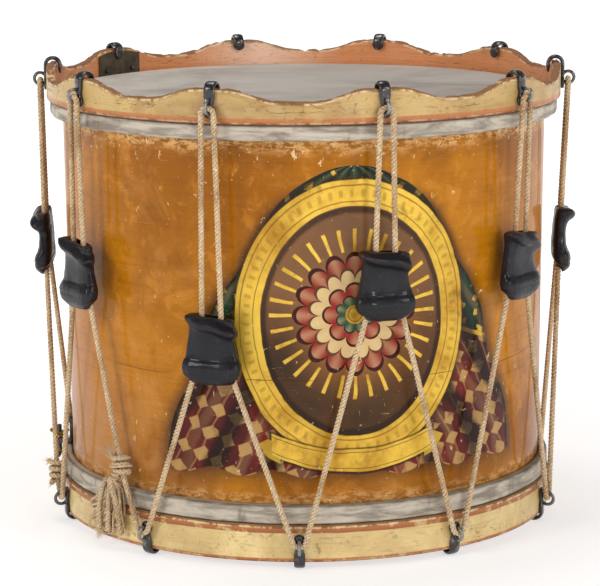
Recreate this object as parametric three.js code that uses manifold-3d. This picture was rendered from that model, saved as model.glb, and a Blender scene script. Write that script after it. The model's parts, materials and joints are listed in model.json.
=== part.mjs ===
// A rope-tensioned field drum that stands on its snare side.
// Millimetres, +Z up and -Y to the front. The origin is on the drum's axis, at the floor.
// An angle counts from the front, -Y, towards +X. At an angle, x is outwards and u runs along the hoop.
import * as THREE from "three";
import { mergeVertices } from "three/addons/utils/BufferGeometryUtils.js";
import Module from "manifold-3d";

const wasm = await Module();
wasm.setup();

// Pattern
const HOOK_COUNT = 10;
const RING_STEPS = 60;
const WAVE_STEPS = 80;
const ROPE_SIDES = 6;

// Clearance between pieces that touch
const GAP = 0.3;
// How far a cutting solid runs past what it cuts
const OVERRUN = 2;
// How close two points lie that are one corner
const WELD = 0.0001;

// Shell
const SHELL_HEIGHT = 327;
const SHELL_TOP_RADIUS = 203;
const SHELL_BOTTOM_RADIUS = 200;
const SHELL_WALL = 6;
const BEARING_LAND = 2;
const BEARING_BEVEL = 4;
const REINFORCING_HEIGHT = 38;
const REINFORCING_WALL = 7;

// Heads and flesh hoops
const SKIN = 0.8;
const HEAD_STANDOFF = 6;
const BATTER_FLESH_HEIGHT = 10.4;
const BATTER_FLESH_WALL = 7.8;
const SNARE_FLESH_HEIGHT = 12.8;
const SNARE_FLESH_WALL = 5.8;

// Counter hoops
const HOOP_WALL = 7;
const HOOP_EDGE = 2;
const TOP_HOOP_CREST = 27.7;
const TOP_HOOP_TROUGH = 18;
const TOP_HOOP_CLEARANCE = 4.9;
const BOTTOM_HOOP_HEIGHT = 30.4;
const BOTTOM_HOOP_CLEARANCE = 0.7;

// Hooks
const STRAP = 3.2;
const ARCH_STEPS = 5;
const CLAW_WIDTH = 9;
const CLAW_LEG = 8;
const CLAW_CLEARANCE = 1.7;
const STEM_WIDTH = 7.5;
const STEM_NECK = 10;
const STEM_LENGTH = 23.2;
const RING_ROD = 1.4;
const RING_RADIUS = 5;
const RING_DROP = 13.7;

// Tension rope
const ROPE_RADIUS = 2.4;
const BIGHT_SPREAD = 5.2;
const STRAND_OFFSET = 8.5;
const STRAND_STANDOFF = 5;
const KINK_LENGTH = 10;
// How much of the standoff each ear holds its strands at
const STANDOFF_SHARES = [0.5, 0.2, 0.2, 0.6, 1, 1, 1, 1, 1, 1];

// Leather ears
const EAR_LENGTH = 54.5;
const EAR_WIDTH = 49;
const EAR_DEPTH = 11.4;
const EAR_HOLLOW = 7.6;
const EAR_STEPS = 12;
// Height of each ear's middle, as a share of the way from the lower rings to the upper ones
const EAR_HEIGHT_SHARES = [0.599, 0.605, 0.605, 0.591, 0.574, 0.6, 0.58, 0.6, 0.584, 0.452];
// Rows from the flared foot to the rolled lip, as shares of the ear's length, width and depth:
// height, width, reach in front of the strands and behind them, and how far the back is cut short
const EAR_ROW_SHARES = [
  [-0.5, 0.78, 0.62, 0.43, 0.2],
  [-0.4, 0.96, 0.9, 0.47, 0.12],
  [-0.24, 1, 0.92, 0.52, 0.03],
  [-0.06, 0.88, 0.54, 0.55, 0],
  [0.21, 0.77, 0.5, 0.53, 0],
  [0.37, 0.83, 0.98, 0.47, 0],
  [0.5, 0.8, 0.66, 0.43, 0],
];
const EAR_CORNER_SHARE = 0.62;
const EAR_HOLLOW_CORNER_SHARE = 0.4;

// Knots and the hanging tail of the rope
const START_HOOK = 8;
const START_KNOT_LIFT = 3.5;
const START_KNOT_TURNS = 3;
const TIE_EAR = 8;
const TIE_KNOT_LIFT = 11.5;
const TIE_KNOT_SHIFT = 9;
const TIE_KNOT_TURNS = 3;
const TURN_SPACING = 0.6;
const TURN_STEPS = 24;
const TAIL_LOOPS = 2;
const TAIL_LOOP_STEPS = 24;
const TAIL_LOOP_HEIGHT = 42;
const TAIL_TOP_PITCH = 7;
const TAIL_BOTTOM_PITCH = 16;
const TAIL_DEPTH = 6;
const TAIL_END = 20;

// Patch on the top hoop's inner face
const PATCH_HOOK = 6;
const PATCH_WIDTH = 54;
const PATCH_THICKNESS = 1;
const PATCH_MARGIN = 2;
const PATCH_STEPS = 6;
const PATCH_NAIL_RADIUS = 2.3;
const PATCH_NAIL_SPACING = 34;
const PATCH_NAIL_LIFT = 7;

// Snares, strainer and butt
const SNARE_RADIUS = 0.9;
const SNARE_SPACING = 4;
const SNARE_STRANDS = 4;
const LACE_STEPS = 6;
const RISER_STEPS = 3;
const GATE_WIDTH = 20;
const BUTT_STUB = 3;
const PLATE_WIDTH = 24;
const PLATE_HEIGHT = 26;
const PLATE_THICKNESS = 2.4;
const PLATE_CORNER = 3;
const LUG_WIDTH = 13;
const LUG_HEIGHT = 4;
const STRAINER_ROD = 2;
const STRAINER_TRAVEL = 3;
const CROSSBAR_RADIUS = 1.6;
const CROSSBAR_LENGTH = 19;
const NUT_HUB_RADIUS = 5;
const NUT_HUB_HEIGHT = 5;
const NUT_WING_SPAN = 17;
const NUT_WING_HEIGHT = 8;
const NUT_WING_THICKNESS = 2.6;
const SCREW_HEAD_RADIUS = 3;
const SCREW_SPACING = 13;
const SCREW_MARGIN = 5;

// Vent
const VENT_RADIUS = 5;
const VENT_HEIGHT = 165;
const GROMMET_WALL = 1.2;
const GROMMET_FLANGE = 4;
const GROMMET_FLANGE_THICKNESS = 1.2;

// The stack of pieces, from the floor up
const archRadius = (GAP + HOOP_WALL + CLAW_CLEARANCE) / 2;
const archReach = (archRadius + STRAP) * Math.cos(Math.PI / 2 / ARCH_STEPS) - HOOP_EDGE;
const bottomHoopLow = archReach;
const bottomHoopHigh = bottomHoopLow + BOTTOM_HOOP_HEIGHT;
const snareBandLow = bottomHoopHigh + GAP;
const snareBandHigh = snareBandLow + SNARE_FLESH_HEIGHT + 2 * (SKIN + GAP);
const snareHeadFace = snareBandLow - HEAD_STANDOFF;
const shellLow = snareHeadFace + SKIN + GAP;
const shellHigh = shellLow + SHELL_HEIGHT;
const batterHeadFace = shellHigh + GAP + SKIN;
const batterBandHigh = batterHeadFace - HEAD_STANDOFF;
const batterBandLow = batterBandHigh - BATTER_FLESH_HEIGHT - 2 * (SKIN + GAP);
const topHoopLow = batterBandHigh + GAP;
const topHoopCrest = topHoopLow + TOP_HOOP_CREST;

// Radii, from the shell outwards
const widest = (low, high) => Math.max(shellRadius(low), shellRadius(high));
const batterSkinRadius = widest(batterBandLow, shellHigh) + GAP + SKIN;
const snareSkinRadius = widest(shellLow, snareBandHigh) + GAP + SKIN;
const batterBandRadius = batterSkinRadius + BATTER_FLESH_WALL + 2 * GAP + SKIN;
const snareBandRadius = snareSkinRadius + SNARE_FLESH_WALL + 2 * GAP + SKIN;
const topHoopInner = batterSkinRadius + TOP_HOOP_CLEARANCE;
const topHoopOuter = topHoopInner + HOOP_WALL;
const bottomHoopInner = snareSkinRadius + BOTTOM_HOOP_CLEARANCE;
const bottomHoopOuter = bottomHoopInner + HOOP_WALL;

// The rings that the rope runs through
const ringOuter = RING_RADIUS + RING_ROD;
const topRingRadius = topHoopOuter + GAP + ringOuter;
const bottomRingRadius = bottomHoopOuter + GAP + ringOuter;
const topRingHeight = topHoopCrest - RING_DROP;
const bottomRingHeight = bottomHoopLow + RING_DROP;
const bightRadius = RING_ROD + ROPE_RADIUS + GAP;
const topBightHeight = topRingHeight - RING_RADIUS;
const bottomBightHeight = bottomRingHeight + RING_RADIUS;

const hookStep = (2 * Math.PI) / HOOK_COUNT;
const topAngle = (k) => (k + 0.5) * hookStep;
const bottomAngle = (k) => k * hookStep;

// Materials, one to a mesh so that each can be changed by itself
const wood = { color: 0xb87428, roughness: 0.45, metalness: 0 };
const paintedWood = { color: 0xd4b478, roughness: 0.55, metalness: 0 };
const plainWood = { color: 0xc09a62, roughness: 0.7, metalness: 0 };
const skin = { color: 0xcfcac0, roughness: 0.7, metalness: 0 };
const iron = { color: 0x1d1b1a, roughness: 0.5, metalness: 0.8 };
const leather = { color: 0x1b1d22, roughness: 0.5, metalness: 0 };
const brownLeather = { color: 0x4b4134, roughness: 0.75, metalness: 0 };
const hemp = { color: 0xbea587, roughness: 0.95, metalness: 0 };
const gut = { color: 0xcdb98c, roughness: 0.5, metalness: 0 };
const brass = { color: 0xa98a4a, roughness: 0.4, metalness: 0.9 };

const drum = new THREE.Group();

function addMesh(name, geometry, material, parent = drum) {
  const mesh = new THREE.Mesh(geometry, new THREE.MeshStandardMaterial(material));
  mesh.name = name;
  parent.add(mesh);
  return mesh;
}

// A frame at an angle round the drum, with its x outwards.
function frameAt(angle) {
  const frame = new THREE.Group();
  frame.rotation.z = angle - Math.PI / 2;
  drum.add(frame);
  return frame;
}

// The point that lies x outwards and u along the hoop at an angle round the drum.
function pointAt(angle, x, u, z) {
  const sine = Math.sin(angle);
  const cosine = Math.cos(angle);
  return new THREE.Vector3(x * sine + u * cosine, u * sine - x * cosine, z);
}

function toSolid(geometry) {
  const bare = geometry.clone().deleteAttribute("normal").deleteAttribute("uv");
  const merged = mergeVertices(bare, WELD);
  return new wasm.Manifold(
    new wasm.Mesh({
      numProp: 3,
      vertProperties: new Float32Array(merged.attributes.position.array),
      triVerts: new Uint32Array(merged.index.array),
    }),
  );
}

function toGeometry(solid) {
  const mesh = solid.getMesh();
  const geometry = new THREE.BufferGeometry();
  geometry.setAttribute("position", new THREE.BufferAttribute(mesh.vertProperties, mesh.numProp));
  geometry.setIndex(new THREE.BufferAttribute(mesh.triVerts, 1));
  const flat = geometry.toNonIndexed();
  flat.computeVertexNormals();
  return flat;
}

// A closed surface through outlines that follow one another round a ring.
function ringOfOutlines(outlines) {
  const count = outlines.length;
  const size = outlines[0].length;
  const index = [];
  for (let i = 0; i < count; i++) {
    const here = i * size;
    const next = ((i + 1) % count) * size;
    for (let j = 0; j < size; j++) {
      const k = (j + 1) % size;
      index.push(here + j, next + j, here + k, here + k, next + j, next + k);
    }
  }
  return surface(outlines, index);
}

// A closed surface through outlines from one end to the other, with a fan over each end.
function rowOfOutlines(outlines) {
  const size = outlines[0].length;
  const last = (outlines.length - 1) * size;
  const index = [];
  for (let here = 0; here < last; here += size) {
    for (let j = 0; j < size; j++) {
      const k = (j + 1) % size;
      const next = here + size;
      index.push(here + j, next + j, here + k, here + k, next + j, next + k);
    }
  }
  for (let j = 1; j < size - 1; j++) {
    index.push(0, j, j + 1, last, last + j + 1, last + j);
  }
  return surface(outlines, index);
}

function surface(outlines, index) {
  const geometry = new THREE.BufferGeometry();
  const places = outlines.flat().flatMap((p) => [p.x, p.y, p.z]);
  geometry.setAttribute("position", new THREE.Float32BufferAttribute(places, 3));
  geometry.setAttribute("uv", new THREE.Float32BufferAttribute(places.length, 2));
  geometry.setIndex(index);
  geometry.computeVertexNormals();
  return geometry;
}

// A solid of revolution about the drum's axis from a closed outline of [radius, height] pairs.
function revolved(outline, steps = RING_STEPS) {
  const points = outline.map(([r, z]) => new THREE.Vector2(r, z));
  return new THREE.LatheGeometry(points, steps).rotateX(Math.PI / 2);
}

// A tube with a polygon section along points, its sections square to the route.
function tube(route, radius, sides = ROPE_SIDES) {
  const outlines = [];
  let side = null;
  route.forEach((point, i) => {
    const before = route[Math.max(i - 1, 0)];
    const after = route[Math.min(i + 1, route.length - 1)];
    const tangent = after.clone().sub(before).normalize();
    if (!side) side = new THREE.Vector3(tangent.y, tangent.z, tangent.x);
    side = side.clone().addScaledVector(tangent, -side.dot(tangent)).normalize();
    const up = tangent.clone().cross(side);
    const outline = [];
    for (let j = 0; j < sides; j++) {
      const turn = (2 * Math.PI * j) / sides;
      outline.push(
        point
          .clone()
          .addScaledVector(side, radius * Math.cos(turn))
          .addScaledVector(up, radius * Math.sin(turn)),
      );
    }
    outlines.push(outline.reverse());
  });
  return rowOfOutlines(outlines);
}

// A flat shape of x and z, made width thick along y about y = 0.
function extrudedAcross(shape, width, curveSegments) {
  const options = { depth: width, bevelEnabled: false, curveSegments };
  return new THREE.ExtrudeGeometry(shape, options).rotateX(Math.PI / 2).translate(0, width / 2, 0);
}

// A cylinder along x, y or z whose middle is at a point.
function rod(radius, length, axis, x, y, z, sides = 12) {
  const geometry = new THREE.CylinderGeometry(radius, radius, length, sides);
  if (axis === "x") geometry.rotateZ(Math.PI / 2);
  if (axis === "z") geometry.rotateX(Math.PI / 2);
  return geometry.translate(x, y, z);
}

// The shell's outer radius at a height, on its slight taper.
function shellRadius(z) {
  const share = (z - shellLow) / SHELL_HEIGHT;
  return SHELL_BOTTOM_RADIUS + (SHELL_TOP_RADIUS - SHELL_BOTTOM_RADIUS) * share;
}

function buildShell() {
  const inside = (z) => shellRadius(z) - SHELL_WALL;
  const [bevelLow, bevelHigh] = [shellLow + BEARING_BEVEL, shellHigh - BEARING_BEVEL];
  const body = revolved([
    [inside(bevelLow), bevelLow],
    [SHELL_BOTTOM_RADIUS - BEARING_LAND, shellLow],
    [SHELL_BOTTOM_RADIUS, shellLow],
    [SHELL_TOP_RADIUS, shellHigh],
    [SHELL_TOP_RADIUS - BEARING_LAND, shellHigh],
    [inside(bevelHigh), bevelHigh],
    [inside(bevelLow), bevelLow],
  ]);
  const reach = 2 * (SHELL_WALL + OVERRUN);
  const vent = rod(VENT_RADIUS, reach, "y", 0, shellRadius(VENT_HEIGHT), VENT_HEIGHT, 16);
  addMesh("shell", toGeometry(toSolid(body).subtract(toSolid(vent))), wood);

  // A wooden ring glued inside each end stiffens the bearing edge.
  const ends = [
    ["bottom_reinforcing_ring", bevelLow + GAP],
    ["top_reinforcing_ring", bevelHigh - GAP - REINFORCING_HEIGHT],
  ];
  for (const [name, base] of ends) {
    const top = base + REINFORCING_HEIGHT;
    const [outerBase, outerTop] = [inside(base) - GAP, inside(top) - GAP];
    const outline = [
      [outerBase - REINFORCING_WALL, base],
      [outerBase, base],
      [outerTop, top],
      [outerTop - REINFORCING_WALL, top],
      [outerBase - REINFORCING_WALL, base],
    ];
    addMesh(name, revolved(outline), plainWood);
  }

  // The vent's grommet has a barrel through the wall and a flange outside it.
  const barrel = VENT_RADIUS - GAP;
  const bore = barrel - GROMMET_WALL;
  const flange = GROMMET_FLANGE_THICKNESS;
  const grommet = new THREE.LatheGeometry(
    [
      new THREE.Vector2(bore, -SHELL_WALL),
      new THREE.Vector2(barrel, -SHELL_WALL),
      new THREE.Vector2(barrel, GAP),
      new THREE.Vector2(barrel + GROMMET_FLANGE, GAP),
      new THREE.Vector2(barrel + GROMMET_FLANGE, GAP + flange),
      new THREE.Vector2(bore, GAP + flange),
      new THREE.Vector2(bore, -SHELL_WALL),
    ],
    16,
  );
  const rim = barrel + GROMMET_FLANGE;
  grommet.translate(0, widest(VENT_HEIGHT - rim, VENT_HEIGHT + rim), VENT_HEIGHT);
  addMesh("vent_grommet", grommet, brass);
}

// A head's skin: over the bearing edge, down to the flesh hoop and round its outside.
// side is 1 for a head that faces up and -1 for one that faces down.
function skinOutline(face, near, far, skinRadius, bandRadius, side) {
  const t = SKIN * side;
  const outline = [
    [0, face],
    [skinRadius, face],
    [skinRadius, near],
    [bandRadius, near],
    [bandRadius, far],
    [skinRadius, far],
    [skinRadius, far + t],
    [bandRadius - SKIN, far + t],
    [bandRadius - SKIN, near - t],
    [skinRadius - SKIN, near - t],
    [skinRadius - SKIN, face - t],
    [0, face - t],
  ];
  return side > 0 ? outline.reverse() : outline;
}

function buildHeads() {
  const batter = [batterHeadFace, batterBandHigh, batterBandLow, batterSkinRadius, batterBandRadius];
  addMesh("batter_head", revolved(skinOutline(...batter, 1)), skin);
  const snare = [snareHeadFace, snareBandLow, snareBandHigh, snareSkinRadius, snareBandRadius];
  addMesh("snare_head", revolved(skinOutline(...snare, -1)), skin);
  const cover = SKIN + GAP;
  const hoops = [
    ["batter_flesh_hoop", batterBandLow, BATTER_FLESH_HEIGHT, batterSkinRadius, BATTER_FLESH_WALL],
    ["snare_flesh_hoop", snareBandLow, SNARE_FLESH_HEIGHT, snareSkinRadius, SNARE_FLESH_WALL],
  ];
  for (const [name, low, height, skinRadius, wall] of hoops) {
    const inner = skinRadius + GAP;
    const base = low + cover;
    const outline = [
      [inner, base],
      [inner + wall, base],
      [inner + wall, base + height],
      [inner, base + height],
      [inner, base],
    ];
    addMesh(name, revolved(outline), plainWood);
  }
}

// Height of the top hoop's wavy edge: a crest at each hook and a trough between.
function waveHeight(angle) {
  const middle = (TOP_HOOP_CREST + TOP_HOOP_TROUGH) / 2;
  const swing = (TOP_HOOP_CREST - TOP_HOOP_TROUGH) / 2;
  return topHoopLow + middle - swing * Math.cos(HOOK_COUNT * angle);
}

function buildTopHoop() {
  const outlines = [];
  for (let i = 0; i < WAVE_STEPS; i++) {
    const angle = (2 * Math.PI * i) / WAVE_STEPS;
    const top = waveHeight(angle);
    outlines.push(
      [
        [topHoopInner, topHoopLow],
        [topHoopOuter, topHoopLow],
        [topHoopOuter, top - HOOP_EDGE],
        [topHoopOuter - HOOP_EDGE, top],
        [topHoopInner + HOOP_EDGE, top],
        [topHoopInner, top - HOOP_EDGE],
      ].map(([r, z]) => pointAt(angle, r, 0, z)),
    );
  }
  addMesh("top_counter_hoop", ringOfOutlines(outlines), paintedWood);
}

// A half ball whose flat side faces inwards along -x.
function dome(radius, steps = 8, rows = 3) {
  const points = [new THREE.Vector2(0, 0)];
  for (let i = 0; i < rows; i++) {
    const turn = (i / rows) * (Math.PI / 2);
    points.push(new THREE.Vector2(radius * Math.cos(turn), radius * Math.sin(turn)));
  }
  points.push(new THREE.Vector2(0, radius));
  return new THREE.LatheGeometry(points, steps).rotateZ(-Math.PI / 2);
}

// A leather patch lies on the hoop's inner face, under the claw of one hook.
function buildPatch() {
  const middle = topAngle(PATCH_HOOK);
  const outer = topHoopInner * Math.cos(Math.PI / WAVE_STEPS) - GAP;
  const inner = outer - PATCH_THICKNESS;
  const low = topHoopLow + PATCH_MARGIN;
  const outlines = [];
  for (let i = 0; i <= PATCH_STEPS; i++) {
    const angle = middle + (PATCH_WIDTH / outer) * (i / PATCH_STEPS - 0.5);
    const top = waveHeight(angle) - PATCH_MARGIN;
    outlines.push([
      pointAt(angle, inner, 0, low),
      pointAt(angle, outer, 0, low),
      pointAt(angle, outer, 0, top),
      pointAt(angle, inner, 0, top),
    ]);
  }
  addMesh("hoop_patch", rowOfOutlines(outlines), brownLeather);

  const face = inner * Math.cos(PATCH_WIDTH / outer / PATCH_STEPS / 2) - GAP;
  [-1, 1].forEach((side, i) => {
    const frame = frameAt(middle + (side * PATCH_NAIL_SPACING) / 2 / inner);
    const head = dome(PATCH_NAIL_RADIUS).rotateZ(Math.PI);
    const nail = addMesh(`patch_nail_${i + 1}`, head, iron, frame);
    nail.position.set(face, 0, low + PATCH_NAIL_LIFT);
  });
}

function buildBottomHoop() {
  const body = revolved([
    [bottomHoopInner + HOOP_EDGE, bottomHoopLow],
    [bottomHoopOuter - HOOP_EDGE, bottomHoopLow],
    [bottomHoopOuter, bottomHoopLow + HOOP_EDGE],
    [bottomHoopOuter, bottomHoopHigh],
    [bottomHoopInner, bottomHoopHigh],
    [bottomHoopInner, bottomHoopLow + HOOP_EDGE],
    [bottomHoopInner + HOOP_EDGE, bottomHoopLow],
  ]);
  // The snares leave through a gate on each side, a notch in the edge that presses on the head.
  const depth = bottomHoopHigh - gateFloor + OVERRUN;
  const reach = 2 * (bottomHoopOuter + OVERRUN);
  const gates = new THREE.BoxGeometry(reach, GATE_WIDTH, depth);
  gates.translate(0, 0, gateFloor + depth / 2);
  addMesh("bottom_counter_hoop", toGeometry(toSolid(body).subtract(toSolid(gates))), paintedWood);
}

function arcPoints(x, z, radius, from, to) {
  const points = [];
  for (let i = 0; i <= ARCH_STEPS; i++) {
    const turn = from + ((to - from) * i) / ARCH_STEPS;
    points.push([x + radius * Math.cos(turn), z + radius * Math.sin(turn)]);
  }
  return points;
}

// A forged hook: an arched claw over the hoop's edge, a stem down its face and an eye for the rope.
// Its origin is on the hoop's outer face, level with the edge that it grips.
function hookGeometry() {
  const outside = GAP + STRAP;
  const middle = GAP - archRadius;
  const back = outside - 2 * (archRadius + STRAP);
  const outline = [
    [outside, -STEM_LENGTH],
    ...arcPoints(middle, -HOOP_EDGE, archRadius + STRAP, 0, Math.PI),
    [back, -CLAW_LEG],
    [back + STRAP, -CLAW_LEG],
    ...arcPoints(middle, -HOOP_EDGE, archRadius, Math.PI, 0),
    [GAP, -STEM_LENGTH],
  ];
  const strap = new THREE.Shape(outline.map(([x, z]) => new THREE.Vector2(x, z)));

  // Seen from the front, the claw is wide and the stem narrow, with a round end.
  const half = STEM_WIDTH / 2;
  const wide = CLAW_WIDTH / 2;
  const front = new THREE.Shape();
  front.moveTo(-wide, -archReach - OVERRUN);
  front.lineTo(wide, -archReach - OVERRUN);
  front.lineTo(wide, STEM_NECK);
  front.lineTo(half, STEM_NECK + wide - half);
  front.absarc(0, STEM_LENGTH - half, half, 0, Math.PI);
  front.lineTo(-half, STEM_NECK + wide - half);
  front.lineTo(-wide, STEM_NECK);
  const depth = outside - back + 2 * OVERRUN;
  const sight = new THREE.ExtrudeGeometry(front, { depth, bevelEnabled: false, curveSegments: 4 });
  sight.rotateY(Math.PI / 2).rotateX(-Math.PI / 2).translate(back - OVERRUN, 0, 0);

  const eye = new THREE.TorusGeometry(RING_RADIUS, RING_ROD, 5, 9).rotateX(Math.PI / 2);
  eye.translate(GAP + ringOuter, 0, -RING_DROP);
  const flat = toSolid(extrudedAcross(strap, CLAW_WIDTH, 1));
  return toGeometry(flat.intersect(toSolid(sight)).add(toSolid(eye)));
}

function buildHooks() {
  const shape = hookGeometry();
  for (let k = 0; k < HOOK_COUNT; k++) {
    const top = addMesh(`top_hook_${k + 1}`, shape, iron, frameAt(topAngle(k)));
    top.position.set(topHoopOuter, 0, topHoopCrest);
    const bottom = addMesh(`bottom_hook_${k + 1}`, shape, iron, frameAt(bottomAngle(k)));
    bottom.position.set(bottomHoopOuter, 0, bottomHoopLow);
    bottom.rotation.x = Math.PI;
  }
}

// One strand of the rope, seen from the top hook that it hangs from: it comes down from the ring,
// is drawn in by the ear, and then runs out to the lower ring at that side, 1 or -1.
const strandTop = { x: topRingRadius, u: BIGHT_SPREAD, z: topBightHeight };
const strandFoot = {
  x: bottomRingRadius * Math.cos(hookStep / 2),
  u: bottomRingRadius * Math.sin(hookStep / 2) - BIGHT_SPREAD,
  z: bottomBightHeight,
};

function earHeight(k) {
  return bottomRingHeight + EAR_HEIGHT_SHARES[k % HOOK_COUNT] * (topRingHeight - bottomRingHeight);
}

// Where the strand of ear k stands at a height: its x and its distance u from the ear's middle.
function strandAt(k, z) {
  const height = earHeight(k);
  const along = (height - strandFoot.z) / (strandTop.z - strandFoot.z);
  const chord = strandFoot.x + (strandTop.x - strandFoot.x) * along;
  const standoff = STRAND_STANDOFF * STANDOFF_SHARES[k % HOOK_COUNT];
  const kink = { x: chord + standoff, u: STRAND_OFFSET };
  const end = z > height ? strandTop : strandFoot;
  const share = (z - height) / (end.z - height);
  return { x: kink.x + (end.x - kink.x) * share, u: kink.u + (end.u - kink.u) * share, z };
}

// The half turn of rope in a ring. side is 1 for a top ring, whose rope hangs down, and -1 for a
// lower one. lean gives how far the strands before and after it slant out.
function bight(angle, x, z, side, leanBefore, leanAfter, steps) {
  const first = Math.PI - leanBefore;
  const turn = first - leanAfter;
  const points = [];
  for (let i = 0; i <= steps; i++) {
    const at = first - (turn * i) / steps;
    points.push(pointAt(angle, x, BIGHT_SPREAD * Math.cos(at), z + side * bightRadius * Math.sin(at)));
  }
  return points;
}

function leanTo(k, end) {
  return Math.atan2(Math.abs(end.u - STRAND_OFFSET), Math.abs(end.z - earHeight(k)));
}

// The kink in an ear, as two points just above and below the ear's middle.
function kinkPoints(k, side, fromTop) {
  const points = [KINK_LENGTH / 2, -KINK_LENGTH / 2].map((step) => {
    const at = strandAt(k, earHeight(k) + step);
    return pointAt(topAngle(k), at.x, side * at.u, at.z);
  });
  return fromTop ? points : points.reverse();
}

// A knot is wound round a straight stretch of its ear's right-hand strand, which it may push
// outwards to a radius of its own and draw towards the ear by a shift.
const windingRadius = 2 * ROPE_RADIUS + GAP;
const windingPitch = 2 * ROPE_RADIUS + TURN_SPACING;

function knotLine(k, lowHeight, turns, shift, ownRadius) {
  const [low, high] = [lowHeight, lowHeight + turns * windingPitch].map((z) => {
    const at = strandAt(k, z);
    const point = pointAt(topAngle(k), at.x, at.u - shift, z);
    const scale = (ownRadius ?? Math.hypot(point.x, point.y)) / Math.hypot(point.x, point.y);
    return new THREE.Vector3(point.x * scale, point.y * scale, z);
  });
  const up = high.clone().sub(low).normalize();
  return { low, high, up, turns, middle: low.clone().lerp(high, 0.5) };
}

const START_EAR = (START_HOOK + HOOK_COUNT - 1) % HOOK_COUNT;
const hookStemTop = bottomHoopLow + STEM_LENGTH;
const startKnot = knotLine(
  START_EAR,
  hookStemTop + START_KNOT_LIFT,
  START_KNOT_TURNS,
  0,
  bottomHoopOuter + GAP + windingRadius + ROPE_RADIUS,
);
const tieKnot = knotLine(TIE_EAR, snareBandHigh + TIE_KNOT_LIFT, TIE_KNOT_TURNS, TIE_KNOT_SHIFT);

// The rope zigzags round the drum from its start knot and back to it, as one piece.
function buildRope() {
  const halfGap = startKnot.up.clone().multiplyScalar(GAP / 2);
  const route = [startKnot.middle.clone().sub(halfGap), startKnot.low];
  for (let i = 0; i < HOOK_COUNT; i++) {
    const k = (START_HOOK + i) % HOOK_COUNT;
    const last = (k + HOOK_COUNT - 1) % HOOK_COUNT;
    const leans = [leanTo(last, strandFoot), leanTo(k, strandFoot)];
    route.push(...bight(bottomAngle(k), bottomRingRadius, bottomBightHeight, -1, ...leans, 4));
    route.push(...kinkPoints(k, -1, false));
    const lean = leanTo(k, strandTop);
    route.push(...bight(topAngle(k), topRingRadius, topBightHeight, 1, lean, lean, 5));
    route.push(...kinkPoints(k, 1, true));
    if (k === TIE_EAR) route.push(tieKnot.high, tieKnot.low);
  }
  route.push(startKnot.high, startKnot.middle.clone().add(halfGap));
  addMesh("tension_rope", tube(route, ROPE_RADIUS), hemp);
}

// Turns of rope wound down a knot's line, each end running on straight for a rope's width.
function windingRoute(line, firstTurn) {
  const out = new THREE.Vector3(line.middle.x, line.middle.y, 0).normalize();
  const across = line.up.clone().cross(out).normalize();
  const face = across.clone().cross(line.up);
  const steps = line.turns * TURN_STEPS;
  const route = [];
  for (let i = 0; i <= steps; i++) {
    const turn = firstTurn + (2 * Math.PI * i) / TURN_STEPS;
    route.push(
      line.high
        .clone()
        .lerp(line.low, i / steps)
        .addScaledVector(face, windingRadius * Math.cos(turn))
        .addScaledVector(across, windingRadius * Math.sin(turn)),
    );
  }
  const extend = (end, next) => end.clone().add(end.clone().sub(next).setLength(2 * ROPE_RADIUS));
  const [head, foot] = [extend(route[0], route[1]), extend(route.at(-1), route.at(-2))];
  return [head, ...route, foot];
}

// The tail leaves the tie knot outwards, hangs in loops that fan out, and ends hanging straight.
function tailRoute(knotEnd, heading) {
  const start = knotEnd.clone().addScaledVector(heading, GAP);
  const lead = start.clone().addScaledVector(heading, 2 * ROPE_RADIUS);
  const angle = Math.atan2(lead.x, -lead.y);
  const middle = bottomHoopOuter + 2 * GAP + ROPE_RADIUS + TAIL_DEPTH / 2;
  const top = lead.z - ROPE_RADIUS;
  const route = [start, lead];
  const quarter = TAIL_LOOP_STEPS / 4;
  const last = TAIL_LOOPS * TAIL_LOOP_STEPS + quarter;
  for (let i = quarter; i <= last; i++) {
    const turn = (2 * Math.PI * i) / TAIL_LOOP_STEPS;
    const drop = (1 - Math.cos(turn)) / 2;
    const done = (i - quarter) / TAIL_LOOP_STEPS;
    const pitch = TAIL_TOP_PITCH + (TAIL_BOTTOM_PITCH - TAIL_TOP_PITCH) * drop;
    const u = (TAIL_LOOPS / 2 - done) * pitch - (TAIL_LOOPS / 2) * TAIL_TOP_PITCH;
    const depth = (TAIL_DEPTH / 2) * Math.sin(turn);
    route.push(pointAt(angle, middle + depth, u, top - TAIL_LOOP_HEIGHT * drop));
  }
  route.push(route.at(-1).clone().setZ(route.at(-1).z - TAIL_END));
  return route;
}

function buildKnots() {
  const start = windingRoute(startKnot, 0);
  const tie = windingRoute(tieKnot, -Math.PI / 2);
  const tail = tailRoute(tie.at(-1), tie.at(-1).clone().sub(tie.at(-2)).normalize());
  const wound = [
    ["rope_start_knot", start, TURN_STEPS],
    ["rope_tie_knot", tie, TURN_STEPS],
    ["rope_tail", tail, TAIL_LOOP_STEPS],
  ];
  for (const [name, route, steps] of wound) {
    addMesh(name, tube(route, ROPE_RADIUS), hemp);
    printLeastGap(name, route, steps);
  }
}

// Prints the least gap between a wound tube's turns and the tube's length.
function printLeastGap(name, route, stepsPerTurn) {
  let least = Infinity;
  let length = 0;
  route.forEach((point, i) => {
    if (i) length += point.distanceTo(route[i - 1]);
    for (let j = i + Math.round(stepsPerTurn / 2); j < route.length; j++) {
      least = Math.min(least, point.distanceTo(route[j]) - 2 * ROPE_RADIUS);
    }
  });
  console.log(`${name}: least gap to itself ${least.toFixed(2)} mm, length ${length.toFixed(0)} mm`);
}

// A superellipse point: 1 of corner gives an ellipse, and less a squarer outline.
function roundedPoint(turn, halfX, halfU, corner) {
  const power = (v) => Math.sign(v) * Math.abs(v) ** corner;
  return [halfX * power(Math.cos(turn)), halfU * power(Math.sin(turn))];
}

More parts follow.
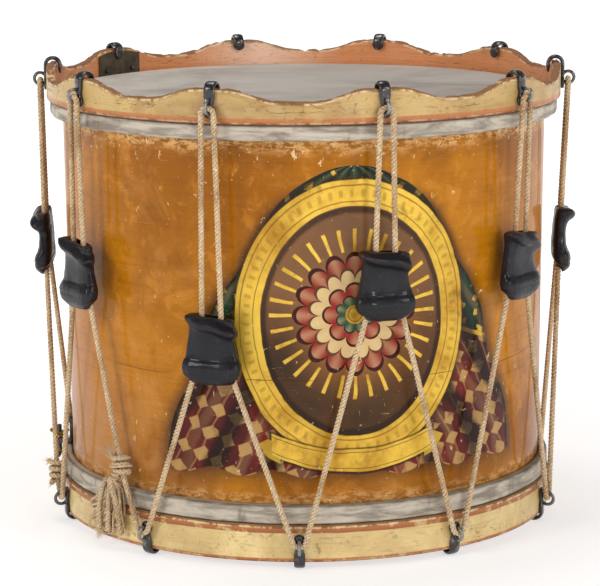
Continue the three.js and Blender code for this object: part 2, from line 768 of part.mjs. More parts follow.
// A leather ear: a sleeve round both strands, which bear on the sides of its hollow. Its lip is
// rolled outwards, its waist is narrow, and its foot flares in front and is cut short behind.
function earGeometry(k) {
  const middle = earHeight(k);
  const outlines = [];
  for (let j = 0; j < EAR_STEPS; j++) {
    const turn = (2 * Math.PI * j) / EAR_STEPS;
    const behind = (1 - Math.cos(turn)) / 2;
    const outer = [];
    const inner = [];
    for (const [height, width, front, back, cut] of EAR_ROW_SHARES) {
      const z = middle + (height + cut * behind) * EAR_LENGTH;
      const at = strandAt(k, z);
      const halfDepth = ((front + back) * EAR_DEPTH) / 2;
      const [x, u] = roundedPoint(turn, halfDepth, (width * EAR_WIDTH) / 2, EAR_CORNER_SHARE);
      const lean = ((front - back) * EAR_DEPTH) / 2;
      outer.push(pointAt(topAngle(k), at.x + lean + x, u, z));
      const bore = [EAR_HOLLOW / 2, at.u + ROPE_RADIUS + 2 * GAP, EAR_HOLLOW_CORNER_SHARE];
      const [hollowX, hollowU] = roundedPoint(turn, ...bore);
      inner.push(pointAt(topAngle(k), at.x + hollowX, hollowU, z));
    }
    outlines.push([...outer, ...inner.reverse()]);
  }
  return ringOfOutlines(outlines);
}

function buildEars() {
  for (let k = 0; k < HOOK_COUNT; k++) {
    addMesh(`ear_${k + 1}`, earGeometry(k), leather);
  }
}

// The bracket stands on the shell at the left: a plate whose foot bends out into a lug, which
// carries the strainer's threaded rod.
const plateLow = snareBandHigh + 2 * GAP;
const plateHigh = plateLow + PLATE_HEIGHT;
const plateFace = widest(plateLow, plateHigh) + GAP;
const lugTop = plateLow + LUG_HEIGHT;
const crossbarTurn = CROSSBAR_RADIUS + GAP + SNARE_RADIUS;
const crossbarHeight = plateLow - STRAINER_TRAVEL - 2 * crossbarTurn - CROSSBAR_RADIUS;
const strainerX = Math.max(
  bottomHoopOuter + 2 * GAP + SNARE_RADIUS + crossbarTurn,
  plateFace + PLATE_THICKNESS + GAP + NUT_WING_SPAN / 2,
);

function buildBracket(frame) {
  const corner = PLATE_CORNER;
  const outline = new THREE.Shape();
  const half = PLATE_WIDTH / 2;
  outline.absarc(half - corner, PLATE_HEIGHT - corner, corner, 0, Math.PI / 2);
  outline.absarc(corner - half, PLATE_HEIGHT - corner, corner, Math.PI / 2, Math.PI);
  outline.absarc(corner - half, corner, corner, Math.PI, 1.5 * Math.PI);
  outline.absarc(half - corner, corner, corner, 1.5 * Math.PI, 2 * Math.PI);
  const options = { depth: PLATE_THICKNESS, bevelEnabled: false, curveSegments: 3 };
  const plate = new THREE.ExtrudeGeometry(outline, options).rotateX(Math.PI / 2).rotateZ(Math.PI / 2);
  plate.translate(plateFace, 0, plateLow);
  const reach = strainerX + NUT_HUB_RADIUS - plateFace;
  const lug = new THREE.BoxGeometry(reach, LUG_WIDTH, LUG_HEIGHT);
  lug.translate(plateFace + reach / 2, 0, lugTop - LUG_HEIGHT / 2);
  const bore = rod(STRAINER_ROD + GAP, 2 * LUG_HEIGHT, "z", strainerX, 0, lugTop - LUG_HEIGHT / 2, 10);
  const body = toSolid(plate).add(toSolid(lug)).subtract(toSolid(bore));
  addMesh("strainer_plate", toGeometry(body), iron, frame);
}

// A crossbar that holds the snares, on a threaded rod that rises through the lug and the nut.
function buildStrainerHook(frame) {
  const top = lugTop + GAP + NUT_HUB_HEIGHT + 2 * STRAINER_TRAVEL;
  const length = top - crossbarHeight;
  const stem = rod(STRAINER_ROD, length, "z", strainerX, 0, top - length / 2, 10);
  const bar = rod(CROSSBAR_RADIUS, CROSSBAR_LENGTH, "y", strainerX, 0, crossbarHeight, 10);
  addMesh("strainer_hook", toGeometry(toSolid(stem).add(toSolid(bar))), iron, frame);
}

// The thumb nut stands on the lug: a round hub with two wings.
function buildThumbNut(frame) {
  const base = lugTop + GAP;
  const hub = rod(NUT_HUB_RADIUS, NUT_HUB_HEIGHT, "z", 0, 0, NUT_HUB_HEIGHT / 2, 12);
  const wing = new THREE.Shape();
  const tip = NUT_WING_HEIGHT / 3;
  wing.moveTo(0, tip);
  wing.lineTo(NUT_WING_SPAN / 4, tip);
  wing.absarc(NUT_WING_SPAN / 2 - tip, NUT_WING_HEIGHT - tip, tip, 0, Math.PI);
  wing.lineTo(0, NUT_WING_HEIGHT / 2);
  const blade = extrudedAcross(wing, NUT_WING_THICKNESS, 5);
  const other = blade.clone().rotateZ(Math.PI);
  const thread = rod(STRAINER_ROD + GAP, 4 * NUT_WING_HEIGHT, "z", 0, 0, 0, 12);
  const body = toSolid(hub).add(toSolid(blade)).add(toSolid(other)).subtract(toSolid(thread));
  const nut = addMesh("thumb_nut", toGeometry(body), brass, frame);
  nut.position.set(strainerX, 0, base);
}

// Two round-headed screws hold the plate near its top.
function buildScrews(frame) {
  const face = plateFace + PLATE_THICKNESS + GAP;
  [-1, 1].forEach((side, i) => {
    const screw = addMesh(`strainer_screw_${i + 1}`, dome(SCREW_HEAD_RADIUS), iron, frame);
    screw.position.set(face, (side * SCREW_SPACING) / 2, plateHigh - SCREW_MARGIN);
  });
}

function buildStrainer() {
  const frame = frameAt(-Math.PI / 2);
  buildBracket(frame);
  buildStrainerHook(frame);
  buildThumbNut(frame);
  buildScrews(frame);
}

// The snares: one length of gut, laced to and fro under the head, over the strainer's crossbar at
// the left and through the gate at the right.
const snareHeight = snareHeadFace - GAP - SNARE_RADIUS;
const gateFloor = snareHeight - SNARE_RADIUS - GAP;
const snareRow = (i) => (i - (SNARE_STRANDS - 1) / 2) * SNARE_SPACING;

// A strand's quarter turn up from the head, and on to the crossbar's height at a distance out.
function riser(out, y) {
  const points = [];
  for (let i = 0; i <= RISER_STEPS; i++) {
    const turn = (Math.PI / 2) * (i / RISER_STEPS);
    const back = crossbarTurn * (1 - Math.sin(turn));
    const rise = crossbarTurn * (1 - Math.cos(turn));
    points.push(new THREE.Vector3(back - out, y, snareHeight + rise));
  }
  points.push(new THREE.Vector3(-out, y, crossbarHeight));
  return points;
}

// The inner points of a half turn from one point to another, which swings out along a vector.
function halfTurn(from, to, swing) {
  const middle = from.clone().lerp(to, 0.5);
  const half = from.clone().sub(middle);
  const points = [];
  for (let i = 1; i < LACE_STEPS; i++) {
    const turn = (Math.PI * i) / LACE_STEPS;
    const point = middle.clone().addScaledVector(half, Math.cos(turn));
    points.push(point.addScaledVector(swing, Math.sin(turn)));
  }
  return points;
}

function snareRoute() {
  const turnX = bottomHoopOuter + SNARE_SPACING / 2;
  const endX = bottomHoopOuter + BUTT_STUB;
  const overBar = new THREE.Vector3(0, 0, crossbarTurn);
  const outwards = new THREE.Vector3(SNARE_SPACING / 2, 0, 0);
  const route = [new THREE.Vector3(endX, snareRow(0), snareHeight)];
  for (let row = 0; row < SNARE_STRANDS; row += 2) {
    const up = riser(strainerX + crossbarTurn, snareRow(row));
    const down = riser(strainerX - crossbarTurn, snareRow(row + 1)).reverse();
    route.push(...up, ...halfTurn(up.at(-1), down[0], overBar), ...down);
    if (row + 2 < SNARE_STRANDS) {
      const end = new THREE.Vector3(turnX, snareRow(row + 1), snareHeight);
      const next = new THREE.Vector3(turnX, snareRow(row + 2), snareHeight);
      route.push(end, ...halfTurn(end, next, outwards), next);
    }
  }
  route.push(new THREE.Vector3(endX, snareRow(SNARE_STRANDS - 1), snareHeight));
  return route;
}

function buildSnares() {
  addMesh("snares", tube(snareRoute(), SNARE_RADIUS, 5), gut);
  // A leather wedge fills the gate over the snares and holds them.
  const low = snareHeight + SNARE_RADIUS + GAP;
  const height = bottomHoopHigh - low;
  const wedge = new THREE.BoxGeometry(HOOP_WALL, GATE_WIDTH - 2 * GAP, height);
  wedge.translate(bottomHoopInner + HOOP_WALL / 2, 0, low + height / 2);
  addMesh("snare_butt", wedge, brownLeather);
}

buildShell();
buildHeads();
buildTopHoop();
buildPatch();
buildBottomHoop();
buildHooks();
buildRope();
buildKnots();
buildEars();
buildStrainer();
buildSnares();

export default drum;
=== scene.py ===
# %% [markdown]
# # A rope-tensioned field drum
# This lesson dresses a field drum: a bent wooden shell, two skin heads, a scalloped hoop and a
# plain one, iron hooks, and one long rope that leather ears pull tight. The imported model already
# holds every solid and joint, so each piece here is built around it, at its real size, in metres.
# The drum stands on the floor at z = 0, its axis is the z axis, and the front looks along -Y.

import json
import math

import bmesh
import bpy
import numpy as np
from mathutils import Matrix, Vector, noise

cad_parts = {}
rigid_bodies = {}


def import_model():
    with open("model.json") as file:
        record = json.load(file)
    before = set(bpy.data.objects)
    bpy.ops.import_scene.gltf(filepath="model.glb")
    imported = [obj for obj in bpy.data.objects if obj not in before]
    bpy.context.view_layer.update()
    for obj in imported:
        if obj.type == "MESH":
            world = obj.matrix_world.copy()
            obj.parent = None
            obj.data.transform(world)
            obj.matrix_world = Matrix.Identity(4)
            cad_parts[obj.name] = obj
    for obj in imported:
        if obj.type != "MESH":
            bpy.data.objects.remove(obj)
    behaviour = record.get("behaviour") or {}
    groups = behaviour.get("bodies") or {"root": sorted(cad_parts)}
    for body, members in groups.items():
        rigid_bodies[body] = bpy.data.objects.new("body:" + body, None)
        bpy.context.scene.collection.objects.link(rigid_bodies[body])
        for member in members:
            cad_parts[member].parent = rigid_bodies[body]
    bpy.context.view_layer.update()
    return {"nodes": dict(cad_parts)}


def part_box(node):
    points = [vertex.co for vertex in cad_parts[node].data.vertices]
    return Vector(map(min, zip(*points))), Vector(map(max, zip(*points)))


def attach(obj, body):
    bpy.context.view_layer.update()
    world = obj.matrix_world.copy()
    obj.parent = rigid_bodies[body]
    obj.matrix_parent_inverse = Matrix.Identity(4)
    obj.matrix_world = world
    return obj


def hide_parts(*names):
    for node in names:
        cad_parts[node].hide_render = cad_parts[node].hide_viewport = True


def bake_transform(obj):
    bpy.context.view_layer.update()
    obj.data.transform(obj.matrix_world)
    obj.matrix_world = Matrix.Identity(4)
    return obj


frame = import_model()
MM = 0.001
DRUM = "drum"

# %% [markdown]
# ## The camera
# The camera comes first, because everything else is judged through it. A long lens from about
# two metres, a little above the drum, gives the flat ellipses of the photograph. The places of
# the hooks round the hoops fixed its turn, tilt and focal length.

# %% Set the camera
CAMERA_DISTANCE = 2180.6 * MM
CAMERA_HEIGHT = 598.1 * MM
CAMERA_BEARING = math.radians(1.385)
PAN, TILT, ROLL = -0.0018, -0.1883, -0.0055  # radians
FOCAL_SHARE = 2590.35 / 600  # focal length over the picture's width
SENSOR = 36  # mm
CLIP_END = 50


def camera_axes():
    """The camera's right, up and forward directions."""
    heading = PAN - CAMERA_BEARING
    forward = Vector(
        (math.sin(heading) * math.cos(TILT), math.cos(heading) * math.cos(TILT), math.sin(TILT))
    )
    level = forward.cross(Vector((0, 0, 1))).normalized()
    upright = level.cross(forward)
    right = level * math.cos(ROLL) + upright * math.sin(ROLL)
    return right, right.cross(forward), forward


def make_camera():
    data = bpy.data.cameras.new("camera")
    data.sensor_width = SENSOR
    data.lens = FOCAL_SHARE * SENSOR
    data.clip_end = CLIP_END
    camera = bpy.data.objects.new("camera", data)
    bpy.context.scene.collection.objects.link(camera)
    right, up, forward = camera_axes()
    turn = Matrix((right, up, -forward)).transposed().to_4x4()
    place = Vector((math.sin(CAMERA_BEARING), -math.cos(CAMERA_BEARING), 0)) * CAMERA_DISTANCE
    camera.matrix_world = Matrix.Translation(place + Vector((0, 0, CAMERA_HEIGHT))) @ turn
    bpy.context.scene.camera = camera


make_camera()
print("camera lens:", round(FOCAL_SHARE * SENSOR, 1), "mm")

# %% [markdown]
# ## Node trees as sums
# Materials and Geometry Nodes are both trees of nodes. One small class wraps a socket and lets
# Python write the sums, so `1 - mask * 0.5` adds its own Math nodes. Any other node comes from
# one method, which takes its type, its settings and what goes into its sockets.


# %% A wire and a tree
class Wire:
    """An output socket that takes part in sums."""

    def __init__(self, tree, socket):
        self.tree, self.socket = tree, socket

    def __add__(self, other):
        return self.tree.maths("ADD", self, other)

    def __sub__(self, other):
        return self.tree.maths("SUBTRACT", self, other)

    def __rsub__(self, other):
        return self.tree.maths("SUBTRACT", other, self)

    def __mul__(self, other):
        return self.tree.maths("MULTIPLY", self, other)

    def __truediv__(self, other):
        return self.tree.maths("DIVIDE", self, other)

    def __pow__(self, other):
        return self.tree.maths("POWER", self, other)

    def __neg__(self):
        return self.tree.maths("MULTIPLY", self, -1.0)

    __radd__ = __add__
    __rmul__ = __mul__


class Tree:
    """A node tree, for a material or for Geometry Nodes."""

    def __init__(self, tree):
        self.tree = tree

    def node(self, kind, settings=None, sockets=None, out=0):
        """Adds a node; sockets maps an input's name or index to a value or a wire."""
        made = self.tree.nodes.new(kind)
        for name, value in (settings or {}).items():
            setattr(made, name, value)
        for name, value in (sockets or {}).items():
            if isinstance(value, Wire):
                self.tree.links.new(value.socket, made.inputs[name])
            else:
                made.inputs[name].default_value = value
        return Wire(self, made.outputs[out])

    def maths(self, operation, *values):
        settings = {"operation": operation}
        return self.node("ShaderNodeMath", settings, dict(enumerate(values)))

    def step(self, value, low, high):
        """0 below low and 1 above high, with a smooth rise between."""
        sockets = {0: value, 1: low, 2: high, 3: 0.0, 4: 1.0}
        return self.node("ShaderNodeMapRange", {"interpolation_type": "SMOOTHSTEP"}, sockets)

    def fall(self, value, low, high):
        """1 below low and 0 above high, with a smooth fall between."""
        return 1 - self.step(value, low, high)

    def inside(self, value, low, high, soft):
        """1 between low and high, 0 outside, with soft edges."""
        rise = self.step(value, low - soft, low + soft)
        return rise * self.fall(value, high - soft, high + soft)

    def larger(self, a, b):
        return self.maths("MAXIMUM", a, b)

    def hypot(self, a, b):
        """How far a place is whose two sides are a and b."""
        return self.maths("SQRT", a * a + b * b)

    def vector(self, x, y, z):
        return self.node("ShaderNodeCombineXYZ", None, {0: x, 1: y, 2: z})

    def split(self, vector):
        made = self.node("ShaderNodeSeparateXYZ", None, {0: vector})
        return [Wire(self, socket) for socket in made.socket.node.outputs]


print("tree classes ready")

# %% [markdown]
# ## A material and its colours
# Each finish is painted by formulas on the piece's own place in space, so grain, dirt and wear
# keep their real size and never slide. Colours are given as the eye reads them, 0 to 255, and
# turned into the light values that the shader works in.


# %% The material class
def tint(red, green, blue):
    """A colour as the eye reads it, as light values."""
    shares = [c / 255 for c in (red, green, blue)]
    return (*(((c + 0.055) / 1.055) ** 2.4 if c > 0.04 else c / 12.92 for c in shares), 1.0)


class Finish(Tree):
    """A material whose Principled shader is fed by formulas on Object coordinates."""

    def __init__(self, name, roughness=0.5, metallic=0.0, coat=0.0, specular=0.5):
        self.material = bpy.data.materials.new(name)
        self.material.use_nodes = True
        super().__init__(self.material.node_tree)
        self.shader = self.tree.nodes["Principled BSDF"]
        self.place = self.node("ShaderNodeTexCoord", out=3)
        self.x, self.y, self.z = self.split(self.place)
        self.set("Roughness", roughness)
        self.set("Metallic", metallic)
        self.set("Coat Weight", coat)
        self.set("Specular IOR Level", specular)
        self.set("Coat Roughness", 0.25)

    def set(self, name, value):
        if isinstance(value, Wire):
            self.tree.links.new(value.socket, self.shader.inputs[name])
        else:
            self.shader.inputs[name].default_value = value

    def mix(self, share, first, second):
        """Two colours, mixed by a share from 0 to 1."""
        sockets = {0: share, 6: first, 7: second}
        return self.node("ShaderNodeMix", {"data_type": "RGBA"}, sockets, out=2)

    def layered(self, color, *coats):
        """A colour under coats, each a share and a colour of its own."""
        for share, coat in coats:
            color = self.mix(share, color, coat)
        return color

    def noise(self, scale, detail=3.0, rough=0.5, place=None, warp=0.0):
        sockets = {"Vector": place or self.place, "Scale": scale, "Detail": detail}
        sockets |= {"Roughness": rough, "Distortion": warp}
        return self.node("ShaderNodeTexNoise", None, sockets)

    def cells(self, scale):
        return self.node("ShaderNodeTexVoronoi", None, {"Vector": self.place, "Scale": scale})

    def from_axis(self):
        """The distance from the drum's axis."""
        return self.hypot(self.x, self.y)

    def bearing(self):
        """The angle round the axis, from the front."""
        return self.maths("ARCTAN2", self.x, -self.y)

    def stretched(self, x, y, z):
        """The place, with each direction scaled by itself."""
        return self.vector(self.x * x, self.y * y, self.z * z)

    def round_noise(self, radius, along, up, detail=3.0, rough=0.5, warp=0.0):
        """Noise unrolled from a cylinder, with a scale along the arc and one up the height."""
        place = self.vector(self.bearing() * (radius * along), 0.0, self.z * up)
        return self.noise(1.0, detail, rough, place, warp)

    def dust(self, weight, color, roughness=0.3):
        """A thin pale dust that shows where the surface is seen at a slant."""
        self.set("Sheen Weight", weight)
        self.set("Sheen Roughness", roughness)
        self.set("Sheen Tint", color)

    def bump(self, height, strength, distance=1.0 * MM):
        sockets = {"Height": height, "Strength": strength, "Distance": distance}
        self.set("Normal", self.node("ShaderNodeBump", None, sockets))


print("finish class ready")

# %% [markdown]
# ## Pieces
# A finished piece is one mesh whose place is in its vertices. Each one takes a material, names
# the body that it rides on and the solids that it stands for.


# %% Make a piece
def show(name, mesh, finish, slot, body=DRUM, stands_for=()):
    """Adds a finished mesh to the drum, as a piece that rides on a body."""
    mesh.materials.clear()
    mesh.materials.append(finish)
    mesh.polygons.foreach_set("use_smooth", [True] * len(mesh.polygons))
    mesh.update()
    piece = bpy.data.objects.new(name, mesh)
    bpy.context.scene.collection.objects.link(piece)
    if body:
        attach(piece, body)
    if stands_for:
        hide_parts(*stands_for)
    return piece


def mesh_of(name, vertices, faces):
    mesh = bpy.data.meshes.new(name)
    mesh.from_pydata([tuple(v) for v in vertices], [], faces)
    mesh.update()
    return mesh


def mended(mesh):
    """Merges doubles and turns every face outwards."""
    made = bmesh.new()
    made.from_mesh(mesh)
    bmesh.ops.remove_doubles(made, verts=made.verts, dist=0.01 * MM)
    bmesh.ops.recalc_face_normals(made, faces=made.faces)
    made.to_mesh(mesh)
    made.free()
    return mesh


def modified(mesh, kind, **settings):
    """The mesh after one modifier."""
    holder = bpy.data.objects.new("holder", mesh)
    bpy.context.scene.collection.objects.link(holder)
    modifier = holder.modifiers.new(kind.title(), kind)
    for name, value in settings.items():
        setattr(modifier, name, value)
    result = evaluated_mesh(holder)
    bpy.data.objects.remove(holder)
    return result


def evaluated_mesh(holder):
    bpy.context.view_layer.update()
    graph = bpy.context.evaluated_depsgraph_get()
    return bpy.data.meshes.new_from_object(holder.evaluated_get(graph))


def grid_faces(rows, columns, wrap_rows=False):
    """Faces of a grid of points, row by row; each row is a closed ring."""
    faces = []
    for i in range(rows if wrap_rows else rows - 1):
        here, after = i * columns, (i + 1) % rows * columns
        for j in range(columns):
            k = (j + 1) % columns
            faces.append((here + j, here + k, after + k, after + j))
    return faces


print("piece helpers ready")

# %% [markdown]
# ## Floor and light
# The drum stands on a plain pale floor in soft studio light. A broad lamp from each side and one
# above light it evenly, and a small one low in front gives the iron and the leather their glints.
# The floor glows with distance and turns up at its far edge, as a lit paper sweep does, and stays
# dim under the drum so that its soft shadow shows.


# %% The studio
SWEEP = ((14, 0), (15, 2.5))  # the floor's edge and its rim: reach and height, metres
SWEEP_STEPS = 48
GLOW_FROM, GLOW_TO = 0.16, 1.3  # metres from the axis
ROOM_LIGHT = 0.2
LAMP_COLOR = (1, 0.96, 0.91)
LAMP_AIM = Vector((0, 0, 0.2))
LAMPS = (  # name, place and size in metres, power in watts
    ("left lamp", (-2.2, -1.9, 1.7), 0.9, 33.5),
    ("right lamp", (2.3, -1.8, 1.6), 0.9, 23),
    ("top lamp", (-0.3, 0.5, 2.8), 1.2, 26),
    ("front lamp", (1.3, -2.5, 0.75), 0.35, 11),
)


def add_floor():
    steps = SWEEP_STEPS
    turns = [math.tau * k / steps for k in range(steps)]
    points = [(far * math.cos(a), far * math.sin(a), high) for far, high in SWEEP for a in turns]
    sides = [(k + steps, (k + 1) % steps + steps, (k + 1) % steps, k) for k in range(steps)]
    floor = bpy.data.objects.new("floor", mesh_of("floor", points, [tuple(range(steps)), *sides]))
    bpy.context.scene.collection.objects.link(floor)
    plain = Finish("floor", roughness=0.9, specular=0.1)
    plain.set("Base Color", tint(206, 205, 204))
    far = plain.step(plain.from_axis(), GLOW_FROM, GLOW_TO)
    plain.set("Emission Color", plain.mix(far, tint(198, 198, 199), tint(251, 251, 251)))
    plain.set("Emission Strength", 1.0)
    floor.data.materials.append(plain.material)


def light_room():
    world = bpy.data.worlds.new("room")
    world.use_nodes = True
    color, strength = world.node_tree.nodes["Background"].inputs[:2]
    color.default_value, strength.default_value = (1, 1, 1, 1), ROOM_LIGHT
    bpy.context.scene.world = world
    bpy.context.scene.view_settings.view_transform = "Standard"


def add_lamp(name, place, size, power):
    data = bpy.data.lights.new(name, "AREA")
    data.size, data.energy, data.color = size, power, LAMP_COLOR
    lamp = bpy.data.objects.new(name, data)
    turn = (LAMP_AIM - Vector(place)).to_track_quat("-Z", "Y").to_matrix().to_4x4()
    lamp.matrix_world = Matrix.Translation(place) @ turn
    bpy.context.scene.collection.objects.link(lamp)


add_floor()
light_room()
for lamp in LAMPS:
    add_lamp(*lamp)
print("studio ready")

# %% [markdown]
# ## Geometry Nodes helper
# A tree for Geometry Nodes is built in the script with named inputs. It runs on a holder mesh,
# its result is kept as a plain mesh, and the holder goes.

# %% Build and run a node tree
SOCKETS = {
    float: "NodeSocketFloat",
    int: "NodeSocketInt",
    "object": "NodeSocketObject",
    "material": "NodeSocketMaterial",
}


class Modeller(Tree):
    """A Geometry Nodes tree with a geometry input and named inputs."""

    def __init__(self, name, inputs):
        super().__init__(bpy.data.node_groups.new(name, "GeometryNodeTree"))
        face = self.tree.interface
        face.new_socket("Geometry", in_out="INPUT", socket_type="NodeSocketGeometry")
        face.new_socket("Geometry", in_out="OUTPUT", socket_type="NodeSocketGeometry")
        self.ids = {}
        for label, kind in inputs.items():
            made = face.new_socket(label, in_out="INPUT", socket_type=SOCKETS[kind])
            self.ids[label] = made.identifier
        entry = self.tree.nodes.new("NodeGroupInput")
        self.given = {socket.name: Wire(self, socket) for socket in entry.outputs if socket.name}

    def finish(self, geometry):
        """Ends the tree in Realize Instances and Set Material."""
        real = self.node("GeometryNodeRealizeInstances", None, {0: geometry})
        sockets = {"Geometry": real, "Material": self.given["Material"]}
        painted = self.node("GeometryNodeSetMaterial", None, sockets)
        last = self.tree.nodes.new("NodeGroupOutput")
        self.tree.links.new(painted.socket, last.inputs[0])

    def run(self, mesh, **values):
        """The mesh that the tree makes of a holder mesh and its inputs."""
        holder = bpy.data.objects.new("holder", mesh)
        modifier = holder.modifiers.new("made", "NODES")
        modifier.node_group = self.tree
        for label, value in values.items():
            modifier[self.ids[label.replace("_", " ").title()]] = value
        bpy.context.scene.collection.objects.link(holder)
        made = evaluated_mesh(holder)
        bpy.data.objects.remove(holder)
        return made


print("modeller ready")

# %% [markdown]
# ## Sizes that the pieces share
# The solids give the drum's main sizes: the heights and radii of the shell and of both hoops. The
# hooks stand every 36 degrees, the lower ones half a step from the upper ones. A place is given by
# its angle from the front, its distance out, its distance to the right and its height.


# %% Sizes of the drum
def band(node):
    """A round piece's low height, high height and outer radius."""
    low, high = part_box(node)
    return low[2], high[2], (high[1] - low[1]) / 2


HOOKS = 10
STEP = math.tau / HOOKS
GAP = 0.3 * MM
ROPE = 2.4 * MM
SKIN = 0.8 * MM
HOOP_WALL = 7 * MM
SHELL_TAPER = 3 * MM
SHELL_LOW, SHELL_HIGH, SHELL_TOP = band("shell")
TOP_LOW, TOP_CREST, TOP_OUTER = band("top_counter_hoop")
BOTTOM_LOW, BOTTOM_HIGH, BOTTOM_OUTER = band("bottom_counter_hoop")
SHELL_BOTTOM = SHELL_TOP - SHELL_TAPER
RING, RING_ROD, RING_DROP = 5 * MM, 1.4 * MM, 13.7 * MM
TOP_RING = TOP_OUTER + GAP + RING + RING_ROD
BOTTOM_RING = BOTTOM_OUTER + GAP + RING + RING_ROD
RING_HIGH, RING_LOW = TOP_CREST - RING_DROP, BOTTOM_LOW + RING_DROP


def top_angle(k):
    return (k + 0.5) * STEP


def bottom_angle(k):
    return k * STEP


def shell_radius(z):
    share = (z - SHELL_LOW) / (SHELL_HIGH - SHELL_LOW)
    return SHELL_BOTTOM + (SHELL_TOP - SHELL_BOTTOM) * share


def point_at(angle, out, side, z):
    """A place: out from the axis at an angle from the front, and then to the right."""
    x = out * math.sin(angle) + side * math.cos(angle)
    return Vector((x, side * math.sin(angle) - out * math.cos(angle), z))


shell_sizes = [round(size / MM) for size in (SHELL_TOP * 2, SHELL_HIGH - SHELL_LOW)]
print("shell:", shell_sizes[0], "mm across,", shell_sizes[1], "mm high")

# %% [markdown]
# ## The rope's way
# One rope zigzags between the upper and the lower hooks. Under each upper hook a leather ear draws
# two strands together. Here that way is written down once, as points, for all the rope's pieces.

# %% The rope's strands and turns
EAR_HEIGHTS = [0.599, 0.605, 0.605, 0.591, 0.574, 0.6, 0.58, 0.6, 0.584, 0.452]
STANDOFFS = [0.5, 0.2, 0.2, 0.6, 1, 1, 1, 1, 1, 1]
STANDOFF, STRAND_SIDE = 5 * MM, 8.5 * MM
BIGHT_SIDE = 5.2 * MM
BIGHT_RISE = RING_ROD + ROPE + GAP
BIGHT_STEPS = 14
BIGHT_HIGH, BIGHT_LOW = RING_HIGH - RING, RING_LOW + RING
STRAND_TOP = (TOP_RING, BIGHT_SIDE, BIGHT_HIGH)
STRAND_FOOT = (
    BOTTOM_RING * math.cos(STEP / 2),
    BOTTOM_RING * math.sin(STEP / 2) - BIGHT_SIDE,
    BIGHT_LOW,
)


def ear_height(k):
    return RING_LOW + EAR_HEIGHTS[k % HOOKS] * (RING_HIGH - RING_LOW)


def strand_at(k, z):
    """How far out and to the side the strand of ear k stands at a height."""
    height = ear_height(k)
    along = (height - STRAND_FOOT[2]) / (STRAND_TOP[2] - STRAND_FOOT[2])
    chord = STRAND_FOOT[0] + (STRAND_TOP[0] - STRAND_FOOT[0]) * along
    out = chord + STANDOFF * STANDOFFS[k % HOOKS]
    end = STRAND_TOP if z > height else STRAND_FOOT
    share = (z - height) / (end[2] - height)
    return out + (end[0] - out) * share, STRAND_SIDE + (end[1] - STRAND_SIDE) * share


def strand_point(k, side, z):
    out, apart = strand_at(k, z)
    return point_at(top_angle(k), out, side * apart, z)


def lean_to(k, end):
    return math.atan2(abs(end[1] - STRAND_SIDE), abs(end[2] - ear_height(k)))


def half_turn(angle, out, z, way, before, after):
    """The rope's half turn in a ring, from one strand to the next; way is 1 upwards, -1 down."""
    first = math.pi - before
    points = []
    for i in range(BIGHT_STEPS + 1):
        at = first - (first - after) * i / BIGHT_STEPS
        side, rise = BIGHT_SIDE * math.cos(at), BIGHT_RISE * math.sin(at)
        points.append(point_at(angle, out, side, z + way * rise))
    return points


def upper_way(k):
    """From the ear, over the upper ring and back into the ear."""
    lean = lean_to(k, STRAND_TOP)
    height = ear_height(k)
    over = half_turn(top_angle(k), TOP_RING, BIGHT_HIGH, 1, lean, lean)
    return [strand_point(k, -1, height), *over, strand_point(k, 1, height)]


def lower_turn(k):
    """The half turn in lower ring k, from the ear before it to the ear after."""
    before, after = lean_to(k - 1, STRAND_FOOT), lean_to(k, STRAND_FOOT)
    return half_turn(bottom_angle(k), BOTTOM_RING, BIGHT_LOW, -1, before, after)


print("ear heights, mm:", [round(ear_height(k) * 1000) for k in range(HOOKS)])

# %% [markdown]
# ## The knots' and the tail's way
# The rope starts in hitches beside the strainer and is tied off on the next strand. A knot is
# wound round a straight stretch of its strand, and the spare rope hangs from it in two loops.

# %% Knots and tail
START_EAR, TIE_EAR = 7, 8
START_RISE, TIE_RISE, TIE_SHIFT = 26.7 * MM, 11.5 * MM, 9 * MM
KNOT_TURNS, TURN_STEPS = 3, 24
WINDING = 2 * ROPE + GAP
WINDING_PITCH = 2 * ROPE + 0.6 * MM
HEAD_BAND = 12.8 * MM
SNARE_BAND_HIGH = BOTTOM_HIGH + GAP + HEAD_BAND + 2 * (SKIN + GAP)


class Knot:
    """A straight stretch of an ear's right-hand strand, and the turns round it."""

    def __init__(self, k, low, shift=0.0, radius=None):
        ends = []
        for z in (low, low + KNOT_TURNS * WINDING_PITCH):
            out, side = strand_at(k, z)
            point = point_at(top_angle(k), out, side - shift, z)
            scale = radius / math.hypot(point.x, point.y) if radius else 1
            ends.append(Vector((point.x * scale, point.y * scale, z)))
        self.low, self.high = ends
        self.up = (self.high - self.low).normalized()
        self.middle = (self.low + self.high) / 2

    def turns(self, first, count, steps, reach, start=0.0, span=1.0):
        """Turns down a span of the stretch, at a reach from its middle line."""
        out = Vector((self.middle.x, self.middle.y, 0)).normalized()
        across = self.up.cross(out).normalized()
        face = across.cross(self.up)
        way = []
        for i in range(count * steps + 1):
            turn = first + math.tau * i / steps
            place = self.high.lerp(self.low, start + span * i / (count * steps))
            way.append(place + reach * (face * math.cos(turn) + across * math.sin(turn)))
        return way

    def winding(self, first):
        """Turns of rope, each end running on straight for a rope's width."""
        way = self.turns(first, KNOT_TURNS, TURN_STEPS, WINDING)
        head = way[0] + (way[0] - way[1]).normalized() * 2 * ROPE
        foot = way[-1] + (way[-1] - way[-2]).normalized() * 2 * ROPE
        return [head, *way, foot]


